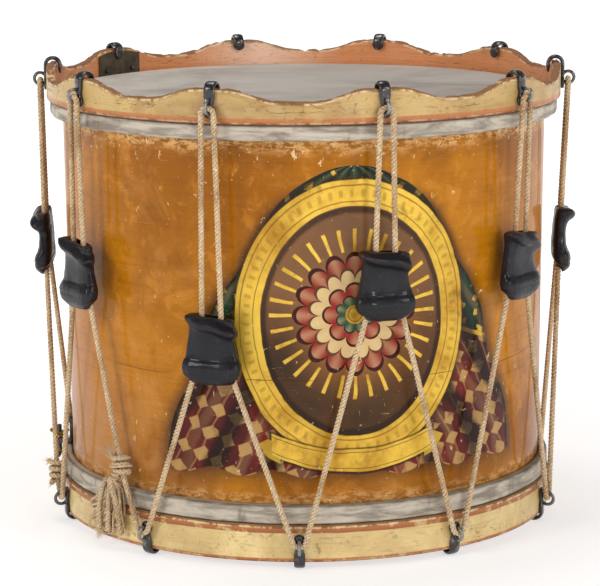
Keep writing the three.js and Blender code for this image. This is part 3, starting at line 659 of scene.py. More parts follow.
START_OUT = BOTTOM_OUTER + GAP + WINDING + ROPE
START_KNOT = Knot(START_EAR, BOTTOM_LOW + START_RISE, radius=START_OUT)
TIE_KNOT = Knot(TIE_EAR, SNARE_BAND_HIGH + TIE_RISE, shift=TIE_SHIFT)
LOOP_STEPS, LOOP_FIRST, LOOP_LAST = 24, 6, 54
LOOP_DROP, LOOP_SWAY, LOOP_END = 42 * MM, 3 * MM, 20 * MM
LOOP_PITCH, LOOP_SPREAD = 7 * MM, 9 * MM


def tail_way(foot, heading):
    """The tail leaves the tie knot, hangs in loops that fan out, and ends hanging straight."""
    start = foot + heading * GAP
    lead = start + heading * 2 * ROPE
    angle = math.atan2(lead.x, -lead.y)
    middle = BOTTOM_OUTER + 2 * GAP + ROPE + LOOP_SWAY
    way = [start, lead]
    for i in range(LOOP_FIRST, LOOP_LAST + 1):
        turn = math.tau * i / LOOP_STEPS
        drop = (1 - math.cos(turn)) / 2
        loops = (i - LOOP_FIRST) / LOOP_STEPS
        side = (1 - loops) * (LOOP_PITCH + LOOP_SPREAD * drop) - LOOP_PITCH
        z = lead.z - ROPE - LOOP_DROP * drop
        way.append(point_at(angle, middle + LOOP_SWAY * math.sin(turn), side, z))
    return way + [way[-1] - Vector((0, 0, LOOP_END))]


def legs_ways(k):
    """Both strands below ear k: each from the ear to the middle of a turn in a lower ring."""
    left, right = lower_turn(k), lower_turn((k + 1) % HOOKS)
    height = ear_height(k)
    knot = {START_EAR: START_KNOT, TIE_EAR: TIE_KNOT}.get(k)
    past = [knot.high, knot.low] if knot else []
    first = [strand_point(k, -1, height), *reversed(left[len(left) // 2 :])]
    return first, [strand_point(k, 1, height), *past, *right[: len(right) // 2 + 1]]


TIE_WAY = TIE_KNOT.winding(-math.pi / 2)
TAIL_WAY = tail_way(TIE_WAY[-1], (TIE_WAY[-1] - TIE_WAY[-2]).normalized())
TAIL_LENGTH = sum((b - a).length for a, b in zip(TAIL_WAY, TAIL_WAY[1:]))
print("tail:", round(TAIL_LENGTH * 1000), "mm")

# %% [markdown]
# ## Laid rope
# The rope is three strands twisted together. Sweeping a three-lobed outline along a curve while it
# turns gives those strands real depth, and the lobes catch the light as the twist does. The tree
# resamples the curve evenly, turns it by its length, and sweeps the outline.


# %% The laid rope's tree
GROOVE = 0.68  # how far out a groove lies, as a share of the rope's radius


def three_lobes(count=15):
    """The rope's outline: three strands that meet in grooves."""
    mesh = bpy.data.curves.new("outline", "CURVE")
    spline = mesh.splines.new("POLY")
    spline.points.add(count - 1)
    for i, point in enumerate(spline.points):
        turn = math.tau * i / count
        radius = GROOVE + (1 - GROOVE) * abs(math.cos(1.5 * turn)) ** 0.7
        point.co = (radius * math.cos(turn), radius * math.sin(turn), 0, 1)
    spline.use_cyclic_u = True
    made = bpy.data.objects.new("outline", mesh)
    bpy.context.scene.collection.objects.link(made)
    return made


def laid_rope_tree():
    inputs = {"Outline": "object", "Radius": float, "Step": float, "Lay": float}
    tree = Modeller("laid rope", {**inputs, "Material": "material"})
    given = tree.given
    curve = tree.node("GeometryNodeMeshToCurve", None, {0: given["Geometry"]})
    sockets = {"Curve": curve, "Length": given["Step"]}
    smooth = tree.node("GeometryNodeResampleCurve", {"mode": "LENGTH"}, sockets)
    along = tree.node("GeometryNodeSplineParameter", out=1)
    sockets = {0: smooth, "Tilt": along / given["Lay"] * math.tau}
    turned = tree.node("GeometryNodeSetCurveTilt", None, sockets)
    settings = {"data_type": "FLOAT", "domain": "POINT"}
    sockets = {0: turned, "Name": "along", "Value": along}
    kept = tree.node("GeometryNodeStoreNamedAttribute", settings, sockets)
    lobes = tree.node("GeometryNodeObjectInfo", None, {0: given["Outline"]}, out=4)
    scale = tree.vector(given["Radius"], given["Radius"], given["Radius"])
    sized = tree.node("GeometryNodeTransform", None, {0: lobes, "Scale": scale})
    place = tree.node("GeometryNodeInputPosition")
    reach = tree.node("ShaderNodeVectorMath", {"operation": "LENGTH"}, {0: place}, out=1)
    sockets = {0: sized, "Name": "groove", "Value": 1.0 - reach / given["Radius"]}
    marked = tree.node("GeometryNodeStoreNamedAttribute", settings, sockets)
    sockets = {"Curve": kept, "Profile Curve": marked, "Fill Caps": True}
    tree.finish(tree.node("GeometryNodeCurveToMesh", None, sockets))
    return tree


def way_mesh(ways):
    """A holder mesh of bare edges: one chain for each way."""
    mesh = bpy.data.meshes.new("ways")
    points, edges = [], []
    for way in ways:
        edges += [(len(points) + i, len(points) + i + 1) for i in range(len(way) - 1)]
        points += [tuple(p) for p in way]
    mesh.from_pydata(points, edges, [])
    return mesh


LOBES = three_lobes()
ROPE_TREE = laid_rope_tree()


def laid(ways, radius=ROPE, step=0.9 * MM, lay=9.5 * MM):
    """A mesh of laid rope along one or more ways."""
    values = {"outline": LOBES, "radius": radius, "step": step, "lay": lay}
    return ROPE_TREE.run(way_mesh(ways), **values)


print("rope tree ready")

# %% [markdown]
# ## Hemp
# Old hemp is dull, beige and dirty in patches. A broad noise gives the dirt, a fine one the loose
# fibres, and a bump roughens the lobes. The grooves between the strands are darkened, as painted
# shade. Nothing on it shines.


# %% The hemp finish
def hemp_finish():
    hemp = Finish("hemp", roughness=0.95, specular=0.1)
    groove = hemp.node("ShaderNodeAttribute", {"attribute_name": "groove"}, out=2)
    fibre = hemp.noise(1300, 3, place=hemp.stretched(1, 1, 0.6))
    color = hemp.layered(
        tint(222, 196, 158),
        (hemp.step(hemp.noise(26, 5, 0.6), 0.42, 0.68), tint(178, 146, 106)),
        # painted shade: the grooves between the three strands are darkened
        (hemp.step(groove, 0.08, 0.26) * 0.8, tint(104, 78, 54)),
        (hemp.step(fibre, 0.48, 0.66) * 0.6, tint(122, 92, 64)),
        (hemp.step(hemp.noise(800, 3), 0.55, 0.68) * 0.75, tint(242, 230, 206)),
    )
    hemp.set("Base Color", color)
    hemp.bump(fibre, 0.6, 0.5 * MM)
    return hemp.material


HEMP = hemp_finish()
print("hemp ready")

# %% [markdown]
# ## The rope's tail
# The tail is the one free stretch of rope. Its far end isn't whipped: the yarns spread into a
# small brush, each a thin tapered strand of its own.


# %% The tail and its brush
YARN, YARN_RINGS, YARN_SIDES = 0.42 * MM, 6, 4


def brush_mesh(end, heading, count=26, length=13 * MM, seed=3):
    """Frayed yarns that spread from a rope's end."""
    draw = np.random.default_rng(seed)
    side = heading.orthogonal().normalized()
    other = heading.cross(side)
    vertices, faces = [], []
    for _ in range(count):
        turn, out = draw.uniform(0, math.tau), draw.uniform(0.15, 0.85)
        lean = (side * math.cos(turn) + other * math.sin(turn)) * out
        root = end - heading * ROPE + lean * ROPE * 0.9
        reach = length * draw.uniform(0.6, 1)
        curl = Vector(draw.uniform(-1, 1, 3)) * reach * 0.22
        base = len(vertices)
        for j in range(YARN_RINGS):
            t = j / (YARN_RINGS - 1)
            middle = root + heading * reach * t + lean * reach * t * t * 0.55 + curl * t * t
            width = YARN * (1 - 0.75 * t)
            for corner in range(YARN_SIDES):
                at = math.tau * corner / YARN_SIDES
                vertices.append(middle + width * (side * math.cos(at) + other * math.sin(at)))
        tip = len(vertices) - YARN_SIDES
        faces += [tuple(base + i for i in f) for f in grid_faces(YARN_RINGS, YARN_SIDES)]
        faces += [tuple(at + i for i in range(YARN_SIDES)) for at in (base, tip)]
    return mended(mesh_of("brush", vertices, faces))


def joined(meshes):
    made = bmesh.new()
    for mesh in meshes:
        made.from_mesh(mesh)
    result = bpy.data.meshes.new("joined")
    made.to_mesh(result)
    made.free()
    return result


tail_heading = (TAIL_WAY[-1] - TAIL_WAY[-2]).normalized()
tail_mesh = laid([TAIL_WAY])
tail = show("rope_tail_hanging", tail_mesh, HEMP, "hemp", stands_for=["rope_tail"])
brush = show("rope_tail_brush", brush_mesh(TAIL_WAY[-1], tail_heading), HEMP, "hemp")
print("tail of", len(tail_mesh.polygons), "faces")

# %% [markdown]
# ## The tension rope
# Each ear has two pieces of rope: the part that goes over the upper hook, and the two legs that
# run down to the lower hooks.


# %% The rope of each ear
EAR_BODIES = [f"ear_{k + 1}_body" for k in range(HOOKS)]
GRIP, LOW_EAR_GRIP = 15 * MM, 40 * MM  # distances past an ear's middle, up and down its strand


def add_rope(k):
    middle = ear_height(k)
    axis_high, axis_low = strand_at(k, BIGHT_HIGH), strand_at(k, BIGHT_LOW)
    ear_out = strand_at(k, middle)[0]
    settings = {"body": None, "stands_for": ["tension_rope"]}
    upper = show(f"rope_upper_{k + 1}", laid([upper_way(k)]), HEMP, "hemp", **settings)
    deep = LOW_EAR_GRIP if k == HOOKS - 1 else GRIP
    top = point_at(top_angle(k), axis_high[0], 0, BIGHT_HIGH)
    point_at(top_angle(k), ear_out, 0, middle - deep)
    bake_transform(upper)
    legs = show(f"rope_legs_{k + 1}", laid(legs_ways(k)), HEMP, "hemp", **settings)
    foot = point_at(top_angle(k), axis_low[0], 0, BIGHT_LOW)
    point_at(top_angle(k), ear_out, 0, middle + GRIP)
    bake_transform(legs)
    return len(upper.data.polygons) + len(legs.data.polygons)


print("rope faces:", sum(add_rope(k) for k in range(HOOKS)))

# %% [markdown]
# ## The two knots
# On a real drum the rope's end is hitched round a strand, and an old end comes apart into yarns.
# The turns could be a tube with a bump, but the yarns show at this size, so the tree that lays the
# rope lays them too. A thinner yarn binds the turns and hangs from them in loose loops, and short
# frayed ends stick out where each winding stops.

# %% The knots
def binding(knot):
    """Thin yarn wound steeply over a knot's turns."""
    reach = WINDING + ROPE + 0.7 * MM
    return knot.turns(0.4, 2, 20, reach, start=0.1, span=0.8)


def loose_yarns(start, count=11, seed=17):
    """Yarns that hang from the knot in thin loops and fan out."""
    draw = np.random.default_rng(seed)
    angle = math.atan2(start.x, -start.y)
    ways = []
    for i in range(count):
        lean = (-38 + 46 * i / (count - 1) + draw.uniform(-6, 6)) * MM
        drop = draw.uniform(26, 50) * MM
        apart, out = draw.uniform(3, 10) * MM, BOTTOM_OUTER + draw.uniform(2.2, 9) * MM
        bend = draw.uniform(-1, 1, 2)
        way = [start + Vector((0, 0, 3 * MM))]
        for j in range(1, 19):
            t = j / 18
            down = math.sin(math.pi * min(t * 0.85, 1)) ** 0.8
            wave = noise.noise(Vector((t * 4, i * 5.1, bend[0]))) * 11 * MM * down
            side = lean * down + apart * math.sin(math.tau * t * 0.9) + wave
            reach = out + 2 * MM * math.sin(7 * t + bend[1] * 3)
            way.append(point_at(angle, reach, side, start.z - drop * down))
        ways.append(way)
    return ways


START_WAY = START_KNOT.winding(0)
start_knot = laid([START_WAY])
tie_knot = laid([TIE_WAY])
yarn_ways = [binding(TIE_KNOT), *loose_yarns(TAIL_WAY[1])]
yarn = laid(yarn_ways, radius=1.05 * MM, lay=5 * MM)
frays = []
for way, at, seed in ((START_WAY, 0, 5), (START_WAY, -1, 7), (TIE_WAY, 0, 11)):
    near = way[1] if at == 0 else way[-2]
    frays.append(brush_mesh(way[at], (way[at] - near).normalized(), 18, 8 * MM, seed))
tuft_way = (TIE_KNOT.up + Vector((-0.5, -0.35, 0))).normalized()
frays.append(brush_mesh(TIE_KNOT.high + Vector((-4, -4, -2)) * MM, tuft_way, 30, 17 * MM, 23))
start_knot = joined([start_knot, *frays[:2]])
tie_knot = joined([tie_knot, yarn, *frays[2:]])
show("knot_at_start", start_knot, HEMP, "hemp", stands_for=["rope_start_knot"])
show("knot_at_tie", tie_knot, HEMP, "hemp", stands_for=["rope_tie_knot"])
print("knots ready,", len(yarn.polygons), "faces of loose yarn")

# %% [markdown]
# ## Worn iron
# The hooks were forged and painted black by use: dark, uneven, half shiny, with rust in the
# hollows and bare metal where hands and rope rub. Noise mixes the three. The rubbed rings are
# painted brighter towards the front: a painted highlight.


# %% The iron finish
def iron_finish(name, ring_from=None):
    """Dark iron; the rope rubs bare what lies past ring_from, with a painted highlight in front."""
    iron = Finish(name, metallic=0.55, specular=0.6, coat=0.7)
    rust = iron.step(iron.noise(420, 4), 0.54, 0.76)
    bright = iron.step(iron.noise(160, 2), 0.56, 0.74) * 0.35
    if ring_from:
        ring = iron.step(iron.from_axis(), ring_from, ring_from + 2 * MM)
        # the rings' even rub, plus a painted highlight that grows towards the front
        rub_and_front_highlight = iron.step(-iron.y, 40 * MM, 170 * MM) * 0.4 + 0.2
        bright = iron.larger(bright, ring * (rub_and_front_highlight - rust * 0.3))
    color = iron.mix(rust, tint(38, 36, 38), tint(62, 44, 36))
    iron.set("Base Color", iron.mix(bright, color, tint(168, 164, 162)))
    iron.set("Coat Roughness", 0.12)
    iron.set("Roughness", 0.22 + rust * 0.4 + iron.noise(900, 2) * 0.1)
    iron.bump(iron.noise(520, 4), 0.4, 0.5 * MM)
    return iron.material


IRON = iron_finish("iron")
UPPER_IRON = iron_finish("upper hooks", TOP_OUTER + 5 * MM)
LOWER_IRON = iron_finish("lower hooks", BOTTOM_OUTER + 5 * MM)
print("iron ready")

# %% [markdown]
# ## One forged hook
# A hook is a flat strap bent in an arch over the hoop's edge, with a short claw inside and a long
# stem outside, and a round eye for the rope. The strap is a soft-edged outline swept along the
# bend, wide at the claw, narrow at the stem and rounded at its foot.


# %% Shape the hook
STRAP, STRAP_WIDE, HOOP_ROOM = 3.2 * MM, 9 * MM, 1.7 * MM
ARCH_FOOT, CLAW, STEM = 2 * MM, 9.2 * MM, 23.2 * MM
CLAW_ROUND, CLAW_MIDDLE, STEM_ROUND = 5.2 * MM, 4.1 * MM, 5.3 * MM
WAIST_FROM, WAIST_RUN, WAIST_CUT = 7 * MM, 4 * MM, 2.2 * MM
STRAP_END = 0.8 * MM  # half as wide as the strap's blunt ends
CLAW_STEPS, ARCH_STEPS, STEM_STEPS = 11, 18, 31


def soft_box(turn, first, second, power):
    """A place on a rectangle of two half sides whose corners are well rounded."""
    along = math.copysign(abs(math.cos(turn)) ** power, math.cos(turn))
    across = math.copysign(abs(math.sin(turn)) ** power, math.sin(turn))
    return first * along, second * across


def swept_strap(stations, around=16):
    """A strap through stations of x, z, width and depth, in the x-z plane."""
    vertices = []
    for i, (x, z, width, depth) in enumerate(stations):
        before, after = stations[max(i - 1, 0)], stations[min(i + 1, len(stations) - 1)]
        way = Vector((after[0] - before[0], 0, after[1] - before[1])).normalized()
        face = Vector((way.z, 0, -way.x))
        for j in range(around):
            turn = math.tau * (j + 0.5) / around
            across, through = soft_box(turn, width / 2, depth / 2, 0.7)
            vertices.append(Vector((x, across, z)) + face * through)
    faces = grid_faces(len(stations), around)
    last = (len(stations) - 1) * around
    faces += [tuple(range(around)), tuple(last + j for j in range(around))]
    return mended(mesh_of("strap", vertices, faces))


def ring_mesh(center, radius, rod, steps=28, around=12):
    """A ring in the x-z plane, a little uneven, as if bent by hand."""
    vertices = []
    for i in range(steps):
        turn = math.tau * i / steps
        thick = rod * (1 + 0.05 * math.sin(3 * turn))
        for j in range(around):
            at = math.tau * j / around
            out = radius + thick * math.cos(at)
            corner = Vector((out * math.cos(turn), thick * math.sin(at), out * math.sin(turn)))
            vertices.append(center + corner)
    return mended(mesh_of("ring", vertices, grid_faces(steps, around, wrap_rows=True)))


def disc_width(radius, away):
    """How wide a disc is at a height away from its middle."""
    return 2 * math.sqrt(max(STRAP_END**2, radius**2 - away**2))


def hook_mesh():
    arch = (GAP + HOOP_WALL + HOOP_ROOM) / 2
    center, reach = GAP - arch, arch + STRAP / 2
    rise = (arch + STRAP) * math.cos(math.pi / HOOKS) - STRAP / 2
    stations = []
    for i in range(CLAW_STEPS + 1):
        z = -CLAW + (CLAW - ARCH_FOOT) * i / CLAW_STEPS
        width = disc_width(CLAW_ROUND, z + CLAW_MIDDLE)
        stations.append((center - reach, z, width, STRAP * min(1, 0.62 + 0.06 * i)))
    for i in range(1, ARCH_STEPS):
        turn = math.pi * (1 - i / ARCH_STEPS)
        x, z = center + reach * math.cos(turn), rise * math.sin(turn) - ARCH_FOOT
        stations.append((x, z, STRAP_WIDE, STRAP))
    for i in range(STEM_STEPS + 1):
        z = -ARCH_FOOT - (STEM - ARCH_FOOT) * i / STEM_STEPS
        waist = STRAP_WIDE - WAIST_CUT * min(1, max(0, (-z - WAIST_FROM) / WAIST_RUN))
        foot = disc_width(STEM_ROUND, z + STEM - STEM_ROUND)
        width = foot if z < -STEM + STEM_ROUND else max(waist, foot)
        depth = STRAP * min(1, 0.7 + (STEM + z) / STRAP_WIDE)
        stations.append((center + reach, z, width, depth))
    eye = ring_mesh(Vector((GAP + RING + RING_ROD, 0, -RING_DROP)), RING, RING_ROD)
    return joined([swept_strap(stations), eye])


HOOK = bpy.data.objects.new("hook", hook_mesh())
bpy.context.scene.collection.objects.link(HOOK)
print("hook faces:", len(HOOK.data.polygons))

# %% [markdown]
# ## Hooks round a hoop
# The ten hooks of a hoop are one shape at ten places. A tree sets points round a circle, turns
# each copy outwards, and gives it a small turn of its own, because no hook sits quite square.


# %% Place the hooks
HOOK_SWING, HOOK_SEED = 0.035, 4  # a swing in radians and the draw's seed


def hooks_tree():
    inputs = {"Hook": "object", "Count": int, "Radius": float, "Height": float, "First": float}
    tree = Modeller("hooks", {**inputs, "Over": float, "Material": "material"})
    given = tree.given
    index = tree.node("GeometryNodeInputIndex")
    angle = given["First"] + index * math.tau / given["Count"]
    out = tree.maths("SINE", angle) * given["Radius"]
    back = tree.maths("COSINE", angle) * given["Radius"]
    sockets = {"Count": given["Count"], "Position": tree.vector(out, -back, given["Height"])}
    points = tree.node("GeometryNodePoints", None, sockets)
    sockets = {2: -HOOK_SWING, 3: HOOK_SWING, 7: index, 8: HOOK_SEED}
    chance = tree.node("FunctionNodeRandomValue", {"data_type": "FLOAT"}, sockets, out=1)
    turn = tree.vector(given["Over"], 0.0, angle - math.pi / 2 + chance)
    hook = tree.node("GeometryNodeObjectInfo", None, {0: given["Hook"]}, out=4)
    spin = tree.node("FunctionNodeEulerToRotation", None, {0: turn})
    sockets = {"Points": points, "Instance": hook, "Rotation": spin}
    tree.finish(tree.node("GeometryNodeInstanceOnPoints", None, sockets))
    return tree


HOOKS_TREE = hooks_tree()


def add_hooks(name, nodes, finish, radius, height, first, over):
    values = {"hook": HOOK, "count": HOOKS, "radius": radius, "height": height}
    values |= {"first": first, "over": over}
    made = HOOKS_TREE.run(bpy.data.meshes.new("none"), **values)
    piece = show(name, made, finish, "iron", stands_for=[f"{nodes}_{k + 1}" for k in range(HOOKS)])
    low, high = np.array(piece.bound_box).min(0), np.array(piece.bound_box).max(0)
    print(name, "from", np.round(low * 1000, 1), "to", np.round(high * 1000, 1), "mm")


add_hooks("hooks_upper", "top_hook", UPPER_IRON, TOP_OUTER, TOP_CREST, STEP / 2, 0.0)
add_hooks("hooks_lower", "bottom_hook", LOWER_IRON, BOTTOM_OUTER, BOTTOM_LOW, 0.0, math.pi)

# %% [markdown]
# ## Counter hoops
# Each counter hoop is a strip of ash, bent round and painted. The upper one has a wavy edge with a
# crest under every hook. The wave follows a rule, so a tree can draw it: it sweeps a rounded
# outline round a circle and lowers the upper edge by a wave, more in some hollows than in others,
# with nicks where years of handling have broken the edge. The lower hoop is the same strip
# without waves.


# %% Sweep the hoops
TOP_SWING, HOOP_EDGE, CREST_FLAT = 4.85 * MM, 1.6 * MM, 0.136
HOOP_STEPS, HOOP_STEP, FILLET_STEPS = 420, 0.9 * MM, 5


def hoop_tree():
    names = ("Radius", "Wall", "Height", "Edge", "Low", "Swing", "Waves")
    tree = Modeller("bent hoop", {**dict.fromkeys(names, float), "Material": "material"})
    given = tree.given
    sockets = {"Resolution": HOOP_STEPS, "Radius": given["Radius"]}
    circle = tree.node("GeometryNodeCurvePrimitiveCircle", None, sockets)
    sockets = {0: given["Wall"], 1: given["Height"]}
    strip = tree.node("GeometryNodeCurvePrimitiveQuadrilateral", None, sockets)
    sockets = {"Curve": strip, "Radius": given["Edge"], "Limit Radius": True}
    sockets["Count"] = FILLET_STEPS
    soft = tree.node("GeometryNodeFilletCurve", {"mode": "POLY"}, sockets)
    sockets = {"Curve": soft, "Length": HOOP_STEP}
    even = tree.node("GeometryNodeResampleCurve", {"mode": "LENGTH"}, sockets)
    ring = tree.node("GeometryNodeCurveToMesh", None, {"Curve": circle, "Profile Curve": even})
    place = tree.node("GeometryNodeInputPosition")
    x, y, z = tree.split(place)
    turn = tree.maths("ARCTAN2", x, -y) * given["Waves"]
    hollow = tree.maths("COSINE", turn) + 1.0
    flat = (tree.maths("COSINE", turn) - tree.maths("COSINE", turn * 3.0)) * CREST_FLAT
    sockets = {"Vector": place, "Scale": 26.0, "Detail": 4.0}
    rough = tree.node("ShaderNodeTexNoise", None, sockets)
    sockets = {"Vector": place, "Scale": 95.0, "Detail": 5.0, "Roughness": 0.7}
    nicks = tree.larger(tree.node("ShaderNodeTexNoise", None, sockets) - 0.48, 0.0)
    wave = given["Swing"] * (hollow + flat + hollow * (rough - 0.5) * 0.35 + nicks * 3.2)
    share = tree.step(z, given["Height"] * -0.3, given["Height"] * 0.38)
    lift = tree.vector(0.0, 0.0, given["Low"] + given["Height"] / 2.0 - wave * share)
    tree.finish(tree.node("GeometryNodeSetPosition", None, {"Geometry": ring, "Offset": lift}))
    return tree


HOOP_TREE = hoop_tree()


def hoop_mesh(outer, low, high, swing):
    values = {"radius": outer - HOOP_WALL / 2, "wall": HOOP_WALL, "height": high - low, "low": low}
    values |= {"edge": HOOP_EDGE, "swing": swing, "waves": float(HOOKS)}
    return mended(HOOP_TREE.run(bpy.data.meshes.new("none"), **values))


upper_hoop = hoop_mesh(TOP_OUTER, TOP_LOW, TOP_CREST, TOP_SWING)
lower_hoop = hoop_mesh(BOTTOM_OUTER, BOTTOM_LOW, BOTTOM_HIGH, 0.0)
print("hoop faces:", len(upper_hoop.polygons), len(lower_hoop.polygons))

# %% [markdown]
# ## Painted hoops
# Outside, the hoops were painted cream with orange-red lines, and the paint has yellowed, rubbed
# through at the edges and cracked. Inside they are bare varnished ash, with a pale patch at the
# back left that is a painted highlight. The material tells the faces apart by their distance from
# the axis and draws the lines by height.


# %% The hoop finish
LINE_TINTS = (tint(154, 84, 36), tint(182, 114, 58))
UPPER_TINTS = (tint(198, 165, 102), tint(170, 135, 78))
LOWER_TINTS = (tint(230, 206, 144), tint(202, 172, 112))
UPPER_SIZES = (TOP_LOW, TOP_CREST, TOP_OUTER, TOP_SWING)
LOWER_SIZES = (BOTTOM_LOW, BOTTOM_HIGH, BOTTOM_OUTER, 0.0)
UPPER_LINES = [(TOP_LOW - 1 * MM, TOP_LOW + 5.2 * MM)]
LOWER_LINES = [
    (BOTTOM_HIGH - 6.5 * MM, BOTTOM_HIGH - 0.6 * MM),
    (BOTTOM_LOW, BOTTOM_LOW + 3.2 * MM),
]


def hoop_finish(name, low, high, outer, swing, lines, pale, deep):
    """Paint from pale to deep with lines between two heights each, and varnish inside."""
    hoop = Finish(name)
    hoop.dust(0.16, tint(255, 226, 206))
    outside = hoop.step(hoop.from_axis(), outer - 2.4 * MM, outer - 1.2 * MM)
    grain = hoop.round_noise(outer, 16, 420, 5, 0.6, 0.4)
    stain = hoop.noise(12, 5, 0.62, warp=1.0)
    dull = hoop.step(hoop.noise(40, 6, 0.7, warp=0.6), 0.5, 0.66)
    paint = hoop.layered(
        pale,
        (hoop.step(stain, 0.36, 0.66), deep),
        (hoop.step(grain, 0.5, 0.72) * 0.3, tint(150, 114, 60)),
        (dull * 0.45, tint(186, 160, 112)),
    )
    by_hand = hoop.z + (hoop.noise(60, 3) - 0.5) * (1.6 * MM)
    kept = 1 - hoop.step(hoop.noise(90, 4, 0.65), 0.55, 0.66) * 0.7
    for line_low, line_high in lines:
        line = hoop.inside(by_hand, line_low, line_high, 0.35 * MM)
        red = hoop.mix(hoop.step(hoop.z, line_low, line_high), *LINE_TINTS)
        paint = hoop.mix(line * kept, paint, red)
    # painted highlight: a pale patch on the varnish inside, at the back and left of the middle
    painted_highlight_patch = hoop.inside(hoop.x, -75 * MM, -5 * MM, 45 * MM) * hoop.step(hoop.y, 0.0, 0.1)
    varnish = hoop.layered(
        tint(222, 146, 92),
        (hoop.step(grain, 0.3, 0.75) * 0.4, tint(176, 104, 60)),
        (painted_highlight_patch * (0.7 + hoop.step(stain, 0.4, 0.6) * 0.25), tint(250, 216, 192)),
    )
    turn = hoop.bearing() * float(HOOKS)
    wave = hoop.maths("COSINE", turn) * (1 + CREST_FLAT)
    hollow = wave - hoop.maths("COSINE", turn * 3.0) * CREST_FLAT + 1.0
    below = (high - swing * hollow) - hoop.z
    fret = hoop.noise(48, 6, 0.72)
    near_top = hoop.fall(below - fret * (7 * MM), -2.6 * MM, 0.3 * MM)
    near_low = hoop.fall(hoop.z - fret * (4.6 * MM), low - 1.6 * MM, low + 0.1 * MM)
    worn = hoop.larger(near_top, near_low)
    fretted, fretted_low = below - fret * (2 * MM), hoop.z - fret * (2 * MM)
    rim = hoop.inside(fretted, 0.2 * MM, 1.8 * MM, 0.4 * MM)
    foot = hoop.inside(fretted_low, low - 0.4 * MM, low + 0.9 * MM, 0.4 * MM)
    nicked = hoop.step(hoop.noise(90, 5, 0.75), 0.44, 0.54)
    chips = hoop.step(hoop.noise(85, 5, 0.72, warp=0.6), 0.60, 0.63) * outside
    specks = hoop.step(hoop.noise(260, 4, 0.7), 0.61, 0.66)
    cracks = hoop.step(hoop.round_noise(outer, 60, 500, 6, 0.75, 0.6), 0.59, 0.63)
    color = hoop.layered(
        varnish,
        (outside, paint),
        (worn * 0.8, tint(112, 72, 40)),
        (hoop.larger(rim, foot * 0.5) * nicked * 0.8, tint(230, 200, 152)),
        (chips * 0.6, tint(150, 106, 62)),
        (specks * 0.35, tint(92, 64, 38)),
        (cracks * 0.3, tint(96, 66, 38)),
    )
    hoop.set("Base Color", color)
    hoop.set("Roughness", 0.3 + outside * 0.2 + chips * 0.2 + worn * 0.3)
    hoop.set("Coat IOR", 1.3)
    hoop.set("Coat Roughness", 0.12)
    hoop.set("Coat Weight", (0.6 - outside * 0.25) * (1 - worn))
    hoop.bump(grain * 0.4 - chips * 0.7 - cracks * 0.8 - worn * fret, 0.45, 0.6 * MM)
    return hoop.material


UPPER_PAINT = hoop_finish("upper hoop paint", *UPPER_SIZES, UPPER_LINES, *UPPER_TINTS)
LOWER_PAINT = hoop_finish("lower hoop paint", *LOWER_SIZES, LOWER_LINES, *LOWER_TINTS)
for name, mesh, paint, node in (
    ("counter_hoop_upper", upper_hoop, UPPER_PAINT, "top_counter_hoop"),
    ("counter_hoop_lower", lower_hoop, LOWER_PAINT, "bottom_counter_hoop"),
):
    show(name, mesh, paint, "hoop_wood", stands_for=[node])
print("hoops painted")

# %% [markdown]
# ## The shell
# The shell is one wide board of maple, steamed and bent into a tube, a little wider at the top. It
# is turned here as an outline round the axis, with a bearing edge at each end, and the vent hole
# is cut out at the back.


# %% Turn the shell
def turned(outline, steps=240, closed=True):
    """An outline of radius and height, swept round the axis; an open one ends on the axis."""
    vertices = []
    for r, z in outline:
        for j in range(steps):
            turn = math.tau * j / steps
            vertices.append((r * math.sin(turn), -r * math.cos(turn), z))
    return vertices, grid_faces(len(outline), steps, wrap_rows=closed)


def between(a, b, count):
    return [tuple(p + (q - p) * i / count for p, q in zip(a, b)) for i in range(count)]


def shell_mesh():
    wall, land, bevel = 6 * MM, 2 * MM, 4 * MM
    low_in, high_in = SHELL_LOW + bevel, SHELL_HIGH - bevel
    soft = 0.5 * MM
    corners = [
        (shell_radius(low_in) - wall, low_in),
        (SHELL_BOTTOM - land, SHELL_LOW),
        (SHELL_BOTTOM - soft, SHELL_LOW),
        (SHELL_BOTTOM, SHELL_LOW + soft),
        (SHELL_TOP, SHELL_HIGH - soft),
        (SHELL_TOP - soft, SHELL_HIGH),
        (SHELL_TOP - land, SHELL_HIGH),
        (shell_radius(high_in) - wall, high_in),
    ]
    counts = [2, 1, 1, 40, 1, 1, 2, 24]
    outline = []
    for i, count in enumerate(counts):
        outline += between(corners[i], corners[(i + 1) % len(corners)], count)
    return mesh_of("shell", *turned(outline))


def with_vent(mesh, radius=5 * MM):
    """The shell with a round hole through its back."""
    low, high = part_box("vent_grommet")
    cutter = bmesh.new()
    middle = Vector((0, (low[1] + high[1]) / 2, (low[2] + high[2]) / 2))
    lie = Matrix.Translation(middle) @ Matrix.Rotation(math.pi / 2, 4, "X")
    sizes = {"radius1": radius, "radius2": radius, "depth": 40 * MM}
    bmesh.ops.create_cone(cutter, cap_ends=True, segments=48, matrix=lie, **sizes)
    hole = bpy.data.meshes.new("hole")
    cutter.to_mesh(hole)
    cutter.free()
    tool = bpy.data.objects.new("hole", hole)
    bpy.context.scene.collection.objects.link(tool)
    made = modified(mesh, "BOOLEAN", operation="DIFFERENCE", object=tool, solver="EXACT")
    bpy.data.objects.remove(tool)
    return made


shell = with_vent(shell_mesh())
print("shell faces:", len(shell.polygons))

# %% [markdown]
# ## The heads
# A head is a calf skin, lapped wet round a thin hoop and pulled down over the shell's edge. What
# shows of it is the flat, nearly grey skin and a soft band round the drum, whose laps leave small
# pleats. The outline is turned, then noise moves the band in and out.


# %% Turn the heads
def rounded_path(points, radius, steps=6):
    """A path whose inner corners are rounded."""
    path = [points[0]]
    for before, corner, after in zip(points, points[1:], points[2:]):
        a, b, c = (Vector((*place, 0)) for place in (before, corner, after))
        reach = min(radius, (a - b).length * 0.49, (c - b).length * 0.49)
        start, end = b + (a - b).normalized() * reach, b + (c - b).normalized() * reach
        for i in range(steps + 1):
            t = i / steps
            point = start * (1 - t) ** 2 + b * 2 * t * (1 - t) + end * t * t
            path.append((point.x, point.y))
    return path + [points[-1]]


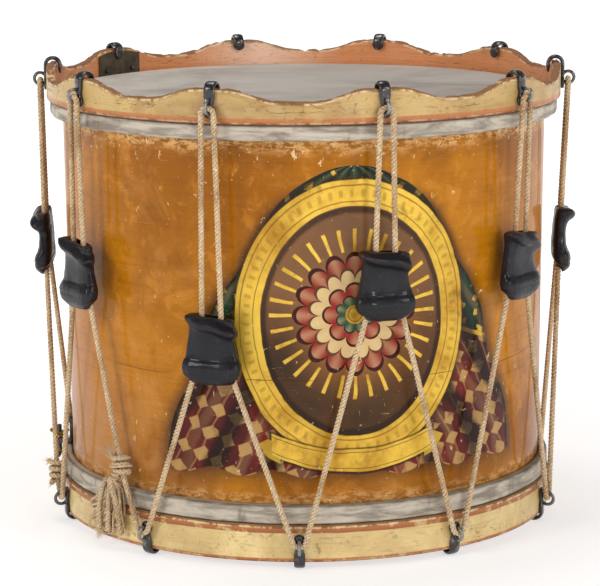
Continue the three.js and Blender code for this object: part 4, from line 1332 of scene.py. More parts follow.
HEAD_DROP, HEAD_BEND, LINING_BEND = 6 * MM, 3.2 * MM, 2.6 * MM
FLAT_RINGS, SAG = 12, 0.5 * MM


def head_outline(face, far, way, inner, band_out):
    """The skin's outline from the middle, down over the hoop and back along its inside."""
    near, lining = face - way * HEAD_DROP, way * SKIN
    outer_path = [(0.0, face), (inner, face), (inner, near)]
    outer_path += [(band_out, near), (band_out, far), (inner, far)]
    inner_path = [
        (inner, far + lining),
        (band_out - SKIN, far + lining),
        (band_out - SKIN, near - lining),
        (inner - SKIN, near - lining),
        (inner - SKIN, face - lining),
        (0.0, face - lining),
    ]
    flat = [(inner * i / FLAT_RINGS, face) for i in range(1, FLAT_RINGS)]
    outside = rounded_path(outer_path, HEAD_BEND)
    return [outside[0], *flat, *outside[1:], *rounded_path(inner_path, LINING_BEND, 3)]


def head_mesh(node, way, steps=360):
    """way is 1 for the head that faces up and -1 for the one that faces down."""
    low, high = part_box(node)
    face, far = (high[2], low[2]) if way > 0 else (low[2], high[2])
    inner = (SHELL_TOP if way > 0 else shell_radius(far)) + GAP + SKIN
    outline = head_outline(face, far, way, inner, high[1])
    vertices, faces = turned(outline, steps, closed=False)
    moved = []
    for x, y, z in vertices:
        r = math.hypot(x, y)
        on_band = min(1, max(0, (r - inner - 1 * MM) / (3 * MM)))
        along = math.atan2(x, -y)
        place = Vector((math.cos(along), math.sin(along), 0)) * 26 + Vector((0, 0, z * 60))
        pleat = noise.noise(place) * 0.75 * MM + noise.noise(place * 2.7) * 0.3 * MM
        scale = 1 + on_band * min(0, pleat - 0.2 * MM) / max(r, 1 * MM)
        uneven = 0.6 + noise.noise(Vector((x, y, 0)) * 9)
        sag = -way * SAG * max(0, 1 - (r / inner) ** 2) * uneven
        moved.append((x * scale, y * scale, z + sag * (1 - on_band)))
    return mended(mesh_of(node, moved, faces))


upper_head, lower_head = head_mesh("batter_head", 1), head_mesh("snare_head", -1)
print("head faces:", len(upper_head.polygons))

# %% [markdown]
# ## Skin and dirt
# Calf skin is dull and cloudy, rubbed pale where the sticks land, and the flat skin is painted
# lighter on the left than on the right: a painted highlight. The band round the shell has been
# handled and is blotchy, with soot at its upper edge, where the hoop holds dirt, and painted shade
# darkens both its edges. The two parts are one skin, so one material tells them apart by their
# distance from the axis.


# %% The skin finish
def skin_finish(name, low, high):
    """Grey-beige skin; painted shade darkens the band outside the low and high heights."""
    skin = Finish(name, roughness=0.6, specular=0.35)
    cloud = skin.noise(7, 5, 0.6, warp=0.6)
    rubbed = skin.noise(1.0, 4, 0.6, place=skin.stretched(14, 60, 1), warp=0.5)
    flat_color = skin.layered(
        tint(212, 206, 196),
        # painted highlight: the flat skin is lighter on the left and darker towards the right
        (skin.step(skin.x, -160 * MM, 60 * MM), tint(190, 183, 176)),
        (skin.step(cloud, 0.35, 0.7), tint(158, 150, 142)),
        (skin.step(rubbed, 0.5, 0.75) * 0.35, tint(214, 209, 202)),
    )
    blotch = skin.round_noise(SHELL_TOP, 26, 130, 5, 0.62, 0.5)
    smudge = skin.round_noise(SHELL_TOP, 60, 20, 3, 0.6)
    band_color = skin.layered(
        tint(192, 182, 166),
        (skin.step(blotch, 0.38, 0.64), tint(132, 122, 110)),
        (skin.step(smudge, 0.56, 0.7) * 0.5, tint(86, 74, 62)),
    )
    on_band = skin.step(skin.from_axis(), SHELL_TOP + 1 * MM, SHELL_TOP + 4 * MM)
    # painted shade: the band is darkened at both edges, outside the low and high heights
    dark = 1 - skin.inside(skin.z, low, high, 1.1 * MM)
    ragged = skin.z + skin.noise(90, 4) * (2.4 * MM)
    soot = skin.step(ragged, high - 1 * MM, high + 1.4 * MM)
    speck = skin.step(skin.noise(240, 3), 0.66, 0.74)
    color = skin.layered(
        flat_color,
        (on_band, band_color),
        (dark * on_band * 0.6, tint(92, 80, 66)),
        (soot * on_band * 0.5, tint(76, 64, 50)),
        (speck * 0.35, tint(110, 98, 84)),
    )
    skin.set("Base Color", color)
    skin.bump(skin.noise(420, 5, 0.6), 0.3, 0.35 * MM)
    return skin.material


UPPER_SKIN = skin_finish("upper skin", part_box("batter_head")[0][2], TOP_LOW - GAP)
LOWER_SKIN = skin_finish("lower skin", BOTTOM_HIGH + GAP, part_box("snare_head")[1][2])
show("head_upper", upper_head, UPPER_SKIN, "head_skin", stands_for=["batter_head"])
show("head_lower", lower_head, LOWER_SKIN, "head_skin", stands_for=["snare_head"])
print("heads ready")

# %% [markdown]
# ## The leather ears
# An ear is a piece of thick harness leather, folded round two strands of rope so that it can be
# pushed down to draw them together. Years of pushing have rolled its lip outwards, pinched its
# waist and spread its foot. The sleeve is a loft: rows of a rounded outline whose width and depth
# follow a smooth curve, with a hollow that holds the rope.


# %% Loft an ear
EAR_LENGTH, EAR_WIDTH, EAR_DEPTH = 54.5 * MM, 49 * MM, 11.4 * MM
EAR_HOLLOW, EAR_EDGE, EDGE_ROWS = 7.6 * MM, 1.5 * MM, 4
EAR_ROWS = np.array([  # height, then the shares of width, reach in front, behind, and back cut
    (-0.5, 0.78, 0.62, 0.43, 0.2),
    (-0.4, 0.96, 0.9, 0.47, 0.12),
    (-0.24, 1, 0.92, 0.52, 0.03),
    (-0.06, 0.88, 0.54, 0.55, 0),
    (0.21, 0.77, 0.5, 0.53, 0),
    (0.37, 0.84, 1.06, 0.47, 0),
    (0.5, 0.8, 0.66, 0.43, 0),
])
CREASES, CREASE_SHIFT = ((-0.31, 0.02), (-0.13, 0.026)), 0.03  # height and spread of each


def ear_row(height):
    """Width, reach in front, reach behind and back cut at a height, on a smooth curve."""
    heights = EAR_ROWS[:, 0]
    i = int(np.clip(np.searchsorted(heights, height) - 1, 0, len(heights) - 2))
    rows = EAR_ROWS[[max(i - 1, 0), i, i + 1, min(i + 2, len(heights) - 1)], 1:]
    t = (height - heights[i]) / (heights[i + 1] - heights[i])
    a, b, c, d = rows
    slope, bend, twist = c - a, 2 * a - 5 * b + 4 * c - d, 3 * b - a - 3 * c + d
    return 0.5 * (2 * b + slope * t + bend * t**2 + twist * t**3)


def bulge(value, middle, width):
    return math.exp(-(((value - middle) / width) ** 2))


def ear_mesh(k, around=84, rows=64, hollow_rows=14):
    draw = np.random.default_rng(20 + k)
    shift = CREASE_SHIFT
    creases = [(at + draw.uniform(-shift, shift), spread) for at, spread in CREASES]
    slant, hang = draw.uniform(0.07, 0.12), draw.choice([-1, 1])
    middle, angle = ear_height(k), top_angle(k)
    vertices = []

    def leather(turn, height, level, pull):
        """How far ahead and to the side the leather's outer face lies."""
        ahead, side = max(0.0, math.cos(turn)), math.sin(turn)
        width, front, back, _ = ear_row(max(-0.5, level))
        half_wide = width * EAR_WIDTH / 2
        deep, wide = soft_box(turn, (front + back) * EAR_DEPTH / 2, half_wide, 0.6)
        dent = sum(1.1 * MM * bulge(level, at, spread) for at, spread in creases) * ahead**0.5
        dent += 1.6 * MM * bulge(level, 0.27, 0.03) * ahead**0.7
        fold = 0.9 * MM * bulge(abs(wide) / half_wide, 0.84, 0.05) * ahead**0.3
        fold *= 1 - bulge(level, 0.42, 0.14)
        flare = 2.6 * MM * bulge(level, 0.38, 0.08) * max(0.0, side * hang)
        spot = Vector((math.cos(turn) * 2, side * 2 + k * 5, height * 6))
        lump = noise.noise(spot) * 1.1 * MM + noise.noise(spot * 3) * 0.4 * MM
        inwards = pull + dent * 0.7 + fold * 0.5 - flare - lump * 0.5 + 0.5 * MM
        scale = max(0.1, 1 - inwards / math.hypot(deep, wide))
        return (front - back) * EAR_DEPTH / 2 + deep * scale, wide * scale

    def ring(height, pull=0.0, hollow=False):
        for j in range(around):
            turn = math.tau * j / around
            side = math.sin(turn)
            level = height + slant * side * min(1, max(0, (height + 0.1) / 0.35))
            level = min(0.5, level) if height < 0.5 else 0.5
            cut = ear_row(max(-0.5, level))[3]
            z = middle + (height + cut * (1 - math.cos(turn)) / 2) * EAR_LENGTH
            out, apart = strand_at(k, z)
            if hollow:
                deep, wide = soft_box(turn, EAR_HOLLOW / 2, apart + ROPE + 2 * GAP, 0.45)
            else:
                deep, wide = leather(turn, height, level, pull)
            tilt = 0.7 * slant * EAR_LENGTH * side * max(0.0, height)
            vertices.append(point_at(angle, out + deep, wide, z - tilt))

    for i in range(rows):
        near = min(i, rows - 1 - i, EDGE_ROWS) / EDGE_ROWS
        ring(-0.5 + i / (rows - 1), EAR_EDGE * (1 - math.sqrt(1 - (1 - near) ** 2)))
    for height in np.linspace(0.5, -0.5, hollow_rows):
        ring(height, hollow=True)
    faces = grid_faces(rows + hollow_rows, around, wrap_rows=True)
    return mended(mesh_of(f"ear_{k + 1}", vertices, faces))


EAR_MESHES = [ear_mesh(k) for k in range(HOOKS)]
print("ear faces:", len(EAR_MESHES[0].polygons), "each")

# %% [markdown]
# ## Waxed leather
# The ears are nearly black and waxed smooth by hands. The wax is a thin clear coat over fine
# wrinkles, which break each glint, and on the sharp rims the black has worn off to brown. A rim is
# found by the mesh's own pointiness, so the wear follows the shape.


# %% The leather finish
def ear_finish():
    leather = Finish("ear leather", specular=0.2, coat=0.24)
    leather.set("Coat Roughness", 0.12)
    cloud = leather.noise(60, 4, 0.6)
    rim = leather.node("ShaderNodeNewGeometry", out=7)
    worn = leather.step(rim + leather.noise(150, 4, 0.6) * 0.16, 0.60, 0.69)
    grazed = leather.noise(230, 5, 0.7, place=leather.stretched(1, 1, 0.5))
    scuff = leather.step(grazed, 0.60, 0.72)
    color = leather.layered(
        tint(10, 10, 18),
        (leather.step(cloud, 0.35, 0.7), tint(20, 19, 28)),
        (worn * 0.8, tint(92, 58, 38)),
        (scuff * 0.3, tint(84, 80, 84)),
    )
    leather.set("Base Color", color)
    leather.set("Roughness", 0.32 + scuff * 0.25 + cloud * 0.12)
    wrinkle = leather.noise(150, 6, 0.68, warp=0.9)
    leather.bump(leather.cells(900) * 0.3 + wrinkle * 1.4, 0.8, 1.0 * MM)
    return leather.material


EAR_LEATHER = ear_finish()
for k, (body, sleeve) in enumerate(zip(EAR_BODIES, EAR_MESHES), 1):
    show(f"ear_sleeve_{k}", sleeve, EAR_LEATHER, "ear_leather", body=body, stands_for=[f"ear_{k}"])
print("ears waxed")

# %% [markdown]
# ## Small fittings
# The strainer, the patch and the hidden hoops keep the shape of their solids. A copy of each
# fitting's solid has its loose triangles merged and its edges eased, so that they catch the light
# as worn edges do; the hidden hoops keep their own solids and are given bare wood.


# %% Ease the edges of a solid's copy
SAME_POINT = 0.002 * MM
FLAT_ANGLE, SHARP_ANGLE = math.radians(1), math.radians(28)


def eased_copy(node, width, steps=3):
    """The node's mesh with merged triangles and rounded edges."""
    made = bmesh.new()
    made.from_mesh(frame["nodes"][node].data)
    bmesh.ops.remove_doubles(made, verts=made.verts, dist=SAME_POINT)
    bmesh.ops.dissolve_limit(made, angle_limit=FLAT_ANGLE, verts=made.verts, edges=made.edges)
    sharp = [edge for edge in made.edges if edge.calc_face_angle(0) > SHARP_ANGLE]
    sizes = {"offset": width, "segments": steps, "affect": "EDGES", "clamp_overlap": True}
    bmesh.ops.bevel(made, geom=sharp, profile=0.5, **sizes)
    bmesh.ops.triangulate(made, faces=[face for face in made.faces if len(face.verts) > 4])
    mesh = bpy.data.meshes.new(node)
    made.to_mesh(mesh)
    made.free()
    return mesh


def brass_finish():
    brass = Finish("brass", metallic=0.9, roughness=0.4)
    dull = brass.step(brass.noise(300, 4), 0.4, 0.7)
    brass.set("Base Color", brass.mix(dull, tint(176, 148, 84), tint(92, 72, 44)))
    brass.set("Roughness", 0.3 + dull * 0.35)
    brass.bump(brass.noise(900, 3), 0.25, 0.3 * MM)
    return brass.material


def brown_leather_finish():
    leather = Finish("brown leather", roughness=0.7, specular=0.3)
    cloud = leather.step(leather.noise(90, 5, 0.6), 0.35, 0.7)
    color = leather.mix(cloud, tint(88, 76, 60), tint(58, 50, 40))
    rubbed = leather.step(leather.noise(400, 3), 0.6, 0.75) * 0.4
    leather.set("Base Color", leather.mix(rubbed, color, tint(126, 112, 90)))
    leather.bump(leather.cells(1100) + leather.noise(260, 4), 0.45, 0.5 * MM)
    return leather.material


def bare_wood_finish():
    wood = Finish("bare wood", roughness=0.75)
    grain = wood.round_noise(SHELL_TOP, 16, 500, 5, 0.6, 0.5)
    color = wood.mix(wood.step(grain, 0.3, 0.7), tint(206, 172, 120), tint(160, 122, 74))
    wood.set("Base Color", color)
    wood.bump(grain, 0.3, 0.4 * MM)
    return wood.material


BRASS, BROWN_LEATHER, BARE_WOOD = brass_finish(), brown_leather_finish(), bare_wood_finish()
FITTINGS = [  # piece, solid, finish, slot, body, width of the eased edge in mm
    ("bracket", "strainer_plate", IRON, "iron", DRUM, 0.45),
    ("bracket_screw_1", "strainer_screw_1", IRON, "iron", DRUM, 0.2),
    ("bracket_screw_2", "strainer_screw_2", IRON, "iron", DRUM, 0.2),
    ("strainer_crossbar", "strainer_hook", IRON, "iron", "strainer_hook_body", 0.25),
    ("wing_nut", "thumb_nut", BRASS, "brass", "thumb_nut_body", 0.4),
    ("vent_eyelet", "vent_grommet", BRASS, "brass", DRUM, 0.25),
    ("hoop_leather", "hoop_patch", BROWN_LEATHER, "brown_leather", DRUM, 0.25),
    ("hoop_leather_nail_1", "patch_nail_1", IRON, "iron", DRUM, 0.2),
    ("hoop_leather_nail_2", "patch_nail_2", IRON, "iron", DRUM, 0.2),
    ("snare_wedge", "snare_butt", BROWN_LEATHER, "brown_leather", DRUM, 0.6),
]
HIDDEN_HOOPS = [f"{head}_flesh_hoop" for head in ("batter", "snare")]
HIDDEN_HOOPS += [f"{end}_reinforcing_ring" for end in ("bottom", "top")]
for name, node, finish, slot, body, width in FITTINGS:
    show(name, eased_copy(node, width * MM), finish, slot, body=body, stands_for=[node])
for node in HIDDEN_HOOPS:
    for place in frame["nodes"][node].material_slots:
        place.material = BARE_WOOD
print("fittings eased:", len(FITTINGS))

# %% [markdown]
# ## The snares
# Under the lower head, one length of gut is laced to and fro across the drum, over the strainer's
# crossbar at the left and through the wedge at the right. It is twisted gut, so it is laid like the
# rope, only finer.


# %% Lace the snares
SNARE, SPACING, BAR_ROD = 0.9 * MM, 4 * MM, 1.6 * MM
SNARE_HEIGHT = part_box("snare_head")[0][2] - GAP - SNARE
BAR_TURN = BAR_ROD + GAP + SNARE
BAR_LOW, BAR_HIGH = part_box("strainer_hook")
BAR_X = -(BAR_LOW[0] + BAR_HIGH[0]) / 2
BAR_HEIGHT = BAR_LOW[2] + BAR_ROD


def snare_row(i):
    return (i - 1.5) * SPACING


def riser(out, y, steps=6):
    """A strand's quarter turn up from the head, and on up to the crossbar."""
    way = []
    for i in range(steps + 1):
        turn = math.pi / 2 * i / steps
        back, rise = BAR_TURN * (1 - math.sin(turn)), BAR_TURN * (1 - math.cos(turn))
        way.append(Vector((back - out, y, SNARE_HEIGHT + rise)))
    return way + [Vector((-out, y, BAR_HEIGHT))]


def round_to(a, b, swing, steps=12):
    """The inner points of a half turn from a to b, which swings out along a vector."""
    middle, half = (a + b) / 2, (a - b) / 2
    turns = [math.pi * i / steps for i in range(1, steps)]
    return [middle + half * math.cos(t) + swing * math.sin(t) for t in turns]


def snare_way():
    turn_x, end_x = BOTTOM_OUTER + SPACING / 2, BOTTOM_OUTER + 3 * MM
    way = [Vector((end_x, snare_row(0), SNARE_HEIGHT))]
    for row in (0, 2):
        up = riser(BAR_X + BAR_TURN, snare_row(row))
        down = riser(BAR_X - BAR_TURN, snare_row(row + 1))[::-1]
        way += [*up, *round_to(up[-1], down[0], Vector((0, 0, BAR_TURN))), *down]
        if row == 0:
            end = Vector((turn_x, snare_row(1), SNARE_HEIGHT))
            after = Vector((turn_x, snare_row(2), SNARE_HEIGHT))
            way += [end, *round_to(end, after, Vector((SPACING / 2, 0, 0))), after]
    return way + [Vector((end_x, snare_row(3), SNARE_HEIGHT))]


def gut_finish():
    gut = Finish("gut", roughness=0.45, specular=0.5)
    cloud = gut.step(gut.noise(120, 4), 0.35, 0.7)
    gut.set("Base Color", gut.mix(cloud, tint(214, 196, 150), tint(168, 144, 98)))
    gut.bump(gut.noise(2000, 2), 0.3, 0.2 * MM)
    return gut.material


snares = laid([snare_way()], radius=SNARE, lay=6 * MM)
piece = show("snare_gut", snares, gut_finish(), "gut", body=None, stands_for=["snares"])
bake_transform(piece)
print("snares:", len(snares.polygons), "faces")

# %% [markdown]
# ## Varnished maple
# The shell's wood is amber with old varnish. Its grain runs round the drum, because the board was
# bent that way, so the noise is unrolled from the cylinder and stretched along the arc. Broad
# clouds, chips near the upper hoop, dirt beside both bands and a hairline split give it age. A thin
# clear coat lies over it and mirrors the pale room where the shell curves away.


# %% The shell's wood
def shell_wood(wood):
    """The wood's colour, its relief, its chips and its split, without the painting."""
    grain = wood.round_noise(SHELL_TOP, 5, 330, 6, 0.62, 0.5)
    fine = wood.round_noise(SHELL_TOP, 34, 1900, 3, 0.6)
    cloud = wood.noise(6.5, 5, 0.6, warp=0.8)
    mottle = wood.noise(38, 6, 0.7, warp=0.4)
    rubbed = wood.step(wood.noise(11, 6, 0.7, warp=0.5), 0.52, 0.70)
    streak = wood.round_noise(SHELL_TOP, 320, 12, 4, 0.65, 0.2)
    # painted reflection: a pale pinkish patch over the lower left of the shell
    left_side = wood.fall(wood.x + wood.z * 0.35, -160 * MM, 0.0)
    painted_left_reflection = wood.fall(wood.z, 90 * MM, 190 * MM) * left_side
    near_top = wood.step(wood.z, SHELL_HIGH - 46 * MM, SHELL_HIGH - 20 * MM)
    near_low = wood.fall(wood.z, SHELL_LOW + 16 * MM, SHELL_LOW + 44 * MM)
    patches = wood.step(wood.noise(30, 5, 0.65), 0.3, 0.62)
    crazed = wood.step(wood.round_noise(SHELL_TOP, 90, 210, 6, 0.75), 0.44, 0.56)
    ragged = wood.noise(40, 3) * (16 * MM)
    under_band = wood.step(wood.z + ragged, SHELL_HIGH - 24 * MM, SHELL_HIGH - 10 * MM)
    over_band = wood.fall(wood.z - ragged, SHELL_LOW + 14 * MM, SHELL_LOW + 24 * MM)
    color = wood.layered(
        tint(184, 117, 10),
        (wood.step(cloud, 0.34, 0.66), tint(148, 87, 4)),
        (wood.step(grain, 0.45, 0.74) * 0.32, tint(118, 68, 10)),
        (wood.step(fine, 0.5, 0.8) * 0.3, tint(120, 66, 18)),
        (wood.step(mottle, 0.52, 0.64) * 0.45, tint(204, 134, 44)),
        (wood.fall(mottle, 0.32, 0.45) * 0.35, tint(110, 62, 8)),
        (rubbed * 0.4, tint(202, 140, 66)),
        # the painted reflection on the lower left
        (painted_left_reflection * (0.25 + wood.step(mottle, 0.4, 0.6) * 0.4), tint(172, 124, 82)),
        (wood.step(streak, 0.62, 0.72) * 0.3, tint(116, 66, 24)),
        (wood.larger(near_top * 0.4, near_low * 0.3) * patches, tint(98, 56, 22)),
        (crazed * wood.larger(under_band, over_band * 0.7) * 0.9, tint(222, 174, 112)),
    )
    split_way = wood.round_noise(SHELL_TOP, 3, 0) * (26 * MM) + 138 * MM
    split = wood.inside(wood.z - split_way, -0.35 * MM, 0.35 * MM, 0.25 * MM)
    split = split * wood.step(wood.round_noise(SHELL_TOP, 8, 0, 2), 0.44, 0.52)
    flake = wood.round_noise(SHELL_TOP, 170, 110, 5, 0.72, 0.6)
    many = near_top * 0.06 + near_low * 0.02 + rubbed * 0.02
    chips = wood.step(flake + many, 0.655, 0.675)
    return color, grain * 0.5 + fine * 0.3, chips, split


print("wood ready")

# %% [markdown]
# ## The painted ornament
# Field drums carried a painted and gilded device. This one has a plain device of its own: a gold
# oval with engraved edges round a dark ground, a rosette of petals with short rays, a mantle that
# is green above and red below with rows of lozenges, and an empty scroll. Every part is a formula
# of the arc from the device's middle and the height, so it bends with the shell.


# %% The device, drawn by formulas
DEVICE_ANGLE = math.radians(12.6)
DEVICE_HEIGHT = 197 * MM
OVAL_WIDE, OVAL_TALL, OVAL_BAND = 96 * MM, 113 * MM, 21 * MM


class Device:
    """The painting's parts; each adds itself over the colour below."""

    def __init__(self, wood, color):
        self.wood, self.color = wood, color
        hand = wood.noise(30, 3) * (4 * MM) - 2 * MM
        self.u = (wood.bearing() - DEVICE_ANGLE) * SHELL_TOP + hand
        self.v = wood.z - DEVICE_HEIGHT + hand
        self.m = wood.maths("ABSOLUTE", self.u)
        self.gilt = self.u * 0.0

    def paint(self, mask, color):
        self.color = self.wood.mix(mask, self.color, color)
        self.gilt = self.gilt * (1 - mask)

    def gild(self, mask):
        """Gold leaf, rubbed thin in places."""
        wood = self.wood
        cloud = wood.step(wood.noise(15, 5, 0.66), 0.36, 0.66)
        leaf = wood.mix(cloud, tint(228, 188, 72), tint(170, 124, 34))
        thin = wood.step(wood.noise(48, 6, 0.72), 0.55, 0.68)
        leaf = wood.mix(thin * 0.55, leaf, tint(122, 84, 34))
        self.color = wood.mix(mask, self.color, leaf)
        self.gilt = wood.larger(self.gilt, mask * (1 - thin * 0.6))

    def far(self, wide, tall):
        """1 on the ellipse with these half sizes, less inside."""
        return self.wood.hypot(self.u / wide, self.v / tall)

    def lozenges(self, pitch_u, pitch_v, size, shift):
        """Rows of small diamonds that follow the mantle's folds."""
        wood = self.wood
        hand = (wood.noise(34, 4) - 0.5) * (20 * MM)
        a = wood.maths("FRACT", (self.m + self.v * shift + hand) / pitch_u + 8.0) - 0.5
        b = wood.maths("FRACT", (self.v - self.m * shift - hand) / pitch_v + 8.0) - 0.5
        span = wood.maths("ABSOLUTE", a) * (pitch_u / pitch_v) + wood.maths("ABSOLUTE", b)
        return wood.fall(span, size - 0.035, size + 0.035)


MANTLE_TOP, MANTLE_TALL, MANTLE_WIDE, MANTLE_FOOT = 124 * MM, 252 * MM, 164 * MM, -122 * MM


def mantle(device):
    """A hanging cloth, green above a gold border and red below, in dark folds."""
    wood, v, m = device.wood, device.v, device.m
    down = wood.larger((MANTLE_TOP - v) / MANTLE_TALL, 0.0)
    hem = wood.maths("SINE", m * 120.0) * (3 * MM)
    wave = wood.maths("SINE", v * 70.0 + 1.0) * (3.5 * MM)
    wide = down**0.5 * MANTLE_WIDE + wave
    above = wood.step(v - hem, MANTLE_FOOT - 0.5 * MM, MANTLE_FOOT + 0.5 * MM)
    inside = wood.fall(m - wide, -0.5 * MM, 0.5 * MM) * above
    near = wood.fall(m - wide, -3 * MM, 15 * MM) * wood.step(v, -138 * MM, -116 * MM)
    device.paint(near * wood.step(down, 0.02, 0.2) * 0.85, tint(64, 38, 20))
    cloud = wood.step(wood.noise(24, 4), 0.35, 0.65)
    device.paint(inside, wood.mix(cloud, tint(112, 36, 30), tint(78, 26, 24)))
    kept = 1 - wood.step(wood.noise(55, 5, 0.7), 0.5, 0.66) * 0.6
    diamonds = device.lozenges(17 * MM, 22 * MM, 0.34, 0.45)
    device.paint(inside * diamonds * kept * 0.9, tint(178, 142, 84))
    stripes = wood.maths("SINE", (m + v * 0.55) * 330.0 + wood.noise(11, 3) * 9.0)
    device.paint(inside * wood.inside(stripes, 0.93, 2.0, 0.03) * 0.4, tint(170, 130, 84))
    border = v - 22 * MM + m * 0.35
    green = inside * wood.step(border, -0.6 * MM, 0.6 * MM)
    device.paint(green, wood.mix(cloud, tint(34, 66, 46), tint(24, 44, 34)))
    device.gild(green * device.lozenges(15 * MM, 15 * MM, 0.24, 0.3))
    device.gild(inside * wood.inside(border, -3.4 * MM, 0.0, 0.3 * MM))
    across = m / (wide + 1 * MM) * 19.0
    fold = wood.maths("SINE", across + v * 46.0 + wood.noise(14, 2) * 5.0)
    device.paint(inside * wood.step(-fold, 0.0, 0.9) * 0.85, tint(22, 15, 12))
    device.paint(inside * wood.step(fold, 0.55, 1.0) * 0.12, tint(214, 170, 122))
    rim = inside * wood.step(m - wide, -5 * MM, -1.4 * MM)
    device.paint(rim * 0.75, tint(30, 20, 14))


def oval(device):
    """A gold oval with engraved lines and beads round a dark ground."""
    wood = device.wood
    outer = device.far(OVAL_WIDE, OVAL_TALL)
    inner = device.far(OVAL_WIDE - OVAL_BAND, OVAL_TALL - OVAL_BAND)
    disc = wood.fall(outer, 0.995, 1.005)
    hole = wood.fall(inner, 0.994, 1.006)
    halo = wood.fall(outer, 1.0, 1.075) * (1 - disc)
    device.paint(halo * 0.7, tint(48, 30, 16))
    device.gild(disc)
    for low, high in ((0.955, 0.967), (0.84, 0.85)):
        device.paint(wood.inside(outer, low, high, 0.003) * disc * 0.6, tint(96, 62, 22))
    turn = wood.maths("ARCTAN2", device.v, device.u)
    bead = wood.step(wood.maths("SINE", turn * 72.0) * 0.5 + 0.5, 0.62, 0.8)
    beads = wood.inside(outer, 0.875, 0.93, 0.01) * bead
    device.paint(beads * disc * 0.35, tint(120, 80, 26))
    glow = wood.noise(9, 4, 0.6, warp=0.6)
    cloud = wood.step(glow, 0.3, 0.7)
    low_ground = wood.mix(cloud, tint(96, 62, 34), tint(56, 40, 26))
    high_ground = wood.mix(cloud, tint(128, 88, 56), tint(86, 66, 50))
    ground = wood.layered(
        low_ground,
        (wood.step(device.v + glow * 30 * MM, -10 * MM, 50 * MM), high_ground),
        (wood.fall(inner, 0.2, 0.85) * 0.55, tint(190, 124, 62)),
    )
    device.paint(hole, ground)
    device.paint(wood.inside(inner, 0.94, 1.0, 0.02) * hole * 0.75, tint(34, 22, 14))


ROSETTE_RISE = 6 * MM


def rosette(device):
    """Four rings of petals round a gold heart, in short gold rays."""
    wood, u, v = device.wood, device.u, device.v - ROSETTE_RISE
    r, turn = wood.hypot(u, v), wood.maths("ARCTAN2", v, u)

    def petals(count, reach, depth, phase, color, edge_color):
        wave = wood.maths("ABSOLUTE", wood.maths("COSINE", turn * (count / 2) + phase))
        rim = wave**0.45 * (reach * depth) + reach * (1 - depth)
        device.paint(wood.fall(r - rim, -0.4 * MM, 0.4 * MM), edge_color)
        core = wood.fall(r - rim * 0.93, -0.5 * MM, 0.2 * MM)
        vein = wave**3.0 * wood.step(r, reach * 0.2, reach)
        device.paint(core, wood.mix(vein * 0.35, color, tint(224, 196, 146)))

    ray = wood.maths("ABSOLUTE", wood.maths("COSINE", turn * 16.0))
    device.gild(wood.step(ray, 0.90, 0.96) * wood.inside(r, 50 * MM, 68 * MM, 0.6 * MM))
    petals(16, 50 * MM, 0.24, 0.0, tint(140, 38, 28), tint(56, 18, 14))
    petals(16, 38 * MM, 0.26, math.pi / 2, tint(204, 174, 122), tint(92, 54, 30))
    petals(8, 26 * MM, 0.3, 0.0, tint(150, 38, 30), tint(66, 20, 14))
    petals(8, 16 * MM, 0.3, math.pi / 2, tint(46, 84, 58), tint(20, 34, 24))
    device.gild(wood.fall(r, 7.4 * MM, 8 * MM))
    device.paint(wood.inside(r, 5.2 * MM, 5.9 * MM, 0.2 * MM), tint(104, 68, 24))


SCROLL_DROP, SCROLL_BEND = 112 * MM, 3.2


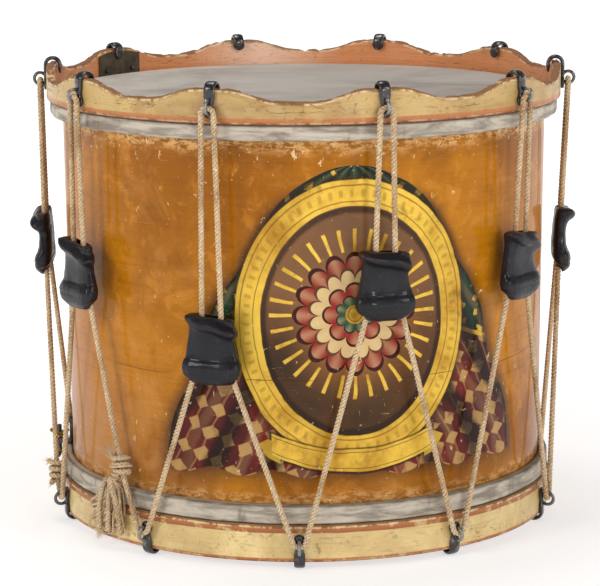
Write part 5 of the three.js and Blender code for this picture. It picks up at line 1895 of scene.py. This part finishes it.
def scroll(device):
    """An empty gold ribbon that hangs in an arc over the oval's foot."""
    wood, m = device.wood, device.m
    v = device.v + SCROLL_DROP - m * m * SCROLL_BEND
    ribbon = wood.inside(v, -9 * MM, 9 * MM, 0.4 * MM) * wood.fall(m, 66 * MM, 67 * MM)
    ends = wood.inside(v, -13 * MM, 3 * MM, 0.4 * MM) * wood.inside(m, 60 * MM, 78 * MM, 0.5 * MM)
    notch = wood.step(m + wood.maths("ABSOLUTE", v + 5 * MM), 77 * MM, 78 * MM)
    ends = ends * (1 - notch)
    edge = wood.inside(v, -11 * MM, 10.4 * MM, 0.8 * MM) * wood.fall(m, 68 * MM, 70 * MM)
    device.paint(edge * 0.8, tint(40, 26, 14))
    device.gild(ends)
    device.paint(ends * 0.35, tint(84, 54, 20))
    device.gild(ribbon)
    for low, high in ((6 * MM, 6.8 * MM), (-6.8 * MM, -6 * MM)):
        line = wood.inside(v, low, high, 0.2 * MM)
        device.paint(ribbon * line * 0.7, tint(96, 62, 22))


print("device ready")

# %% [markdown]
# ## Wood, painting and wear together
# The painting lies on the wood, and the wear goes through both: flakes are lost from it, chips and
# scratches show pale wood, and the split is dark. Only the outer face is varnished. Where gold is
# left, the shader is partly metal.


# %% The shell's finish
def shell_finish():
    wood = Finish("shell varnish", specular=0.04)
    wood.dust(0.3, tint(255, 216, 198))
    wood.set("Coat IOR", 1.3)
    wood.set("Coat Roughness", 0.08)
    color, relief, chips, split = shell_wood(wood)
    device = Device(wood, color)
    for part in (mantle, oval, rosette, scroll):
        part(device)
    outside = wood.step(wood.from_axis(), SHELL_BOTTOM - 2.2 * MM, SHELL_BOTTOM - 1.6 * MM)
    raw = wood.mix(relief, tint(196, 158, 104), tint(150, 110, 64))
    flake = wood.round_noise(SHELL_TOP, 210, 170, 5, 0.72, 0.4)
    front = wood.step(device.far(150 * MM, 150 * MM), 0.9, 1.1)
    lost = wood.step(flake - front * 0.06, 0.66, 0.70) * 0.75
    scratches = wood.step(wood.round_noise(SHELL_TOP, 90, 1500, 2, 0.5, 1.2), 0.72, 0.76)
    aged = wood.layered(
        device.color,
        (lost, wood.mix(0.5, color, tint(150, 98, 44))),
        (chips * 0.8, tint(226, 198, 150)),
        (scratches * 0.5, tint(224, 190, 132)),
        (split * 0.65, tint(60, 36, 18)),
    )
    wood.set("Base Color", wood.mix(outside, raw, aged))
    gilt = device.gilt * (1 - lost) * (1 - chips) * outside
    wood.set("Metallic", gilt * 0.55)
    wood.set("Roughness", 0.36 + chips * 0.4 + relief * 0.12 - gilt * 0.04)
    wood.set("Coat Weight", (1 - chips) * 0.5 * outside)
    wood.bump(relief * 0.5 - chips * 0.8 - split * 1.5 - lost * 0.35 + gilt * 0.3, 0.4, 0.45 * MM)
    return wood.material


show("shell_board", shell, shell_finish(), "shell_wood", stands_for=["shell"])
print("shell painted")

# %% Remove the patterns
for pattern in (LOBES, HOOK):
    bpy.data.objects.remove(pattern)
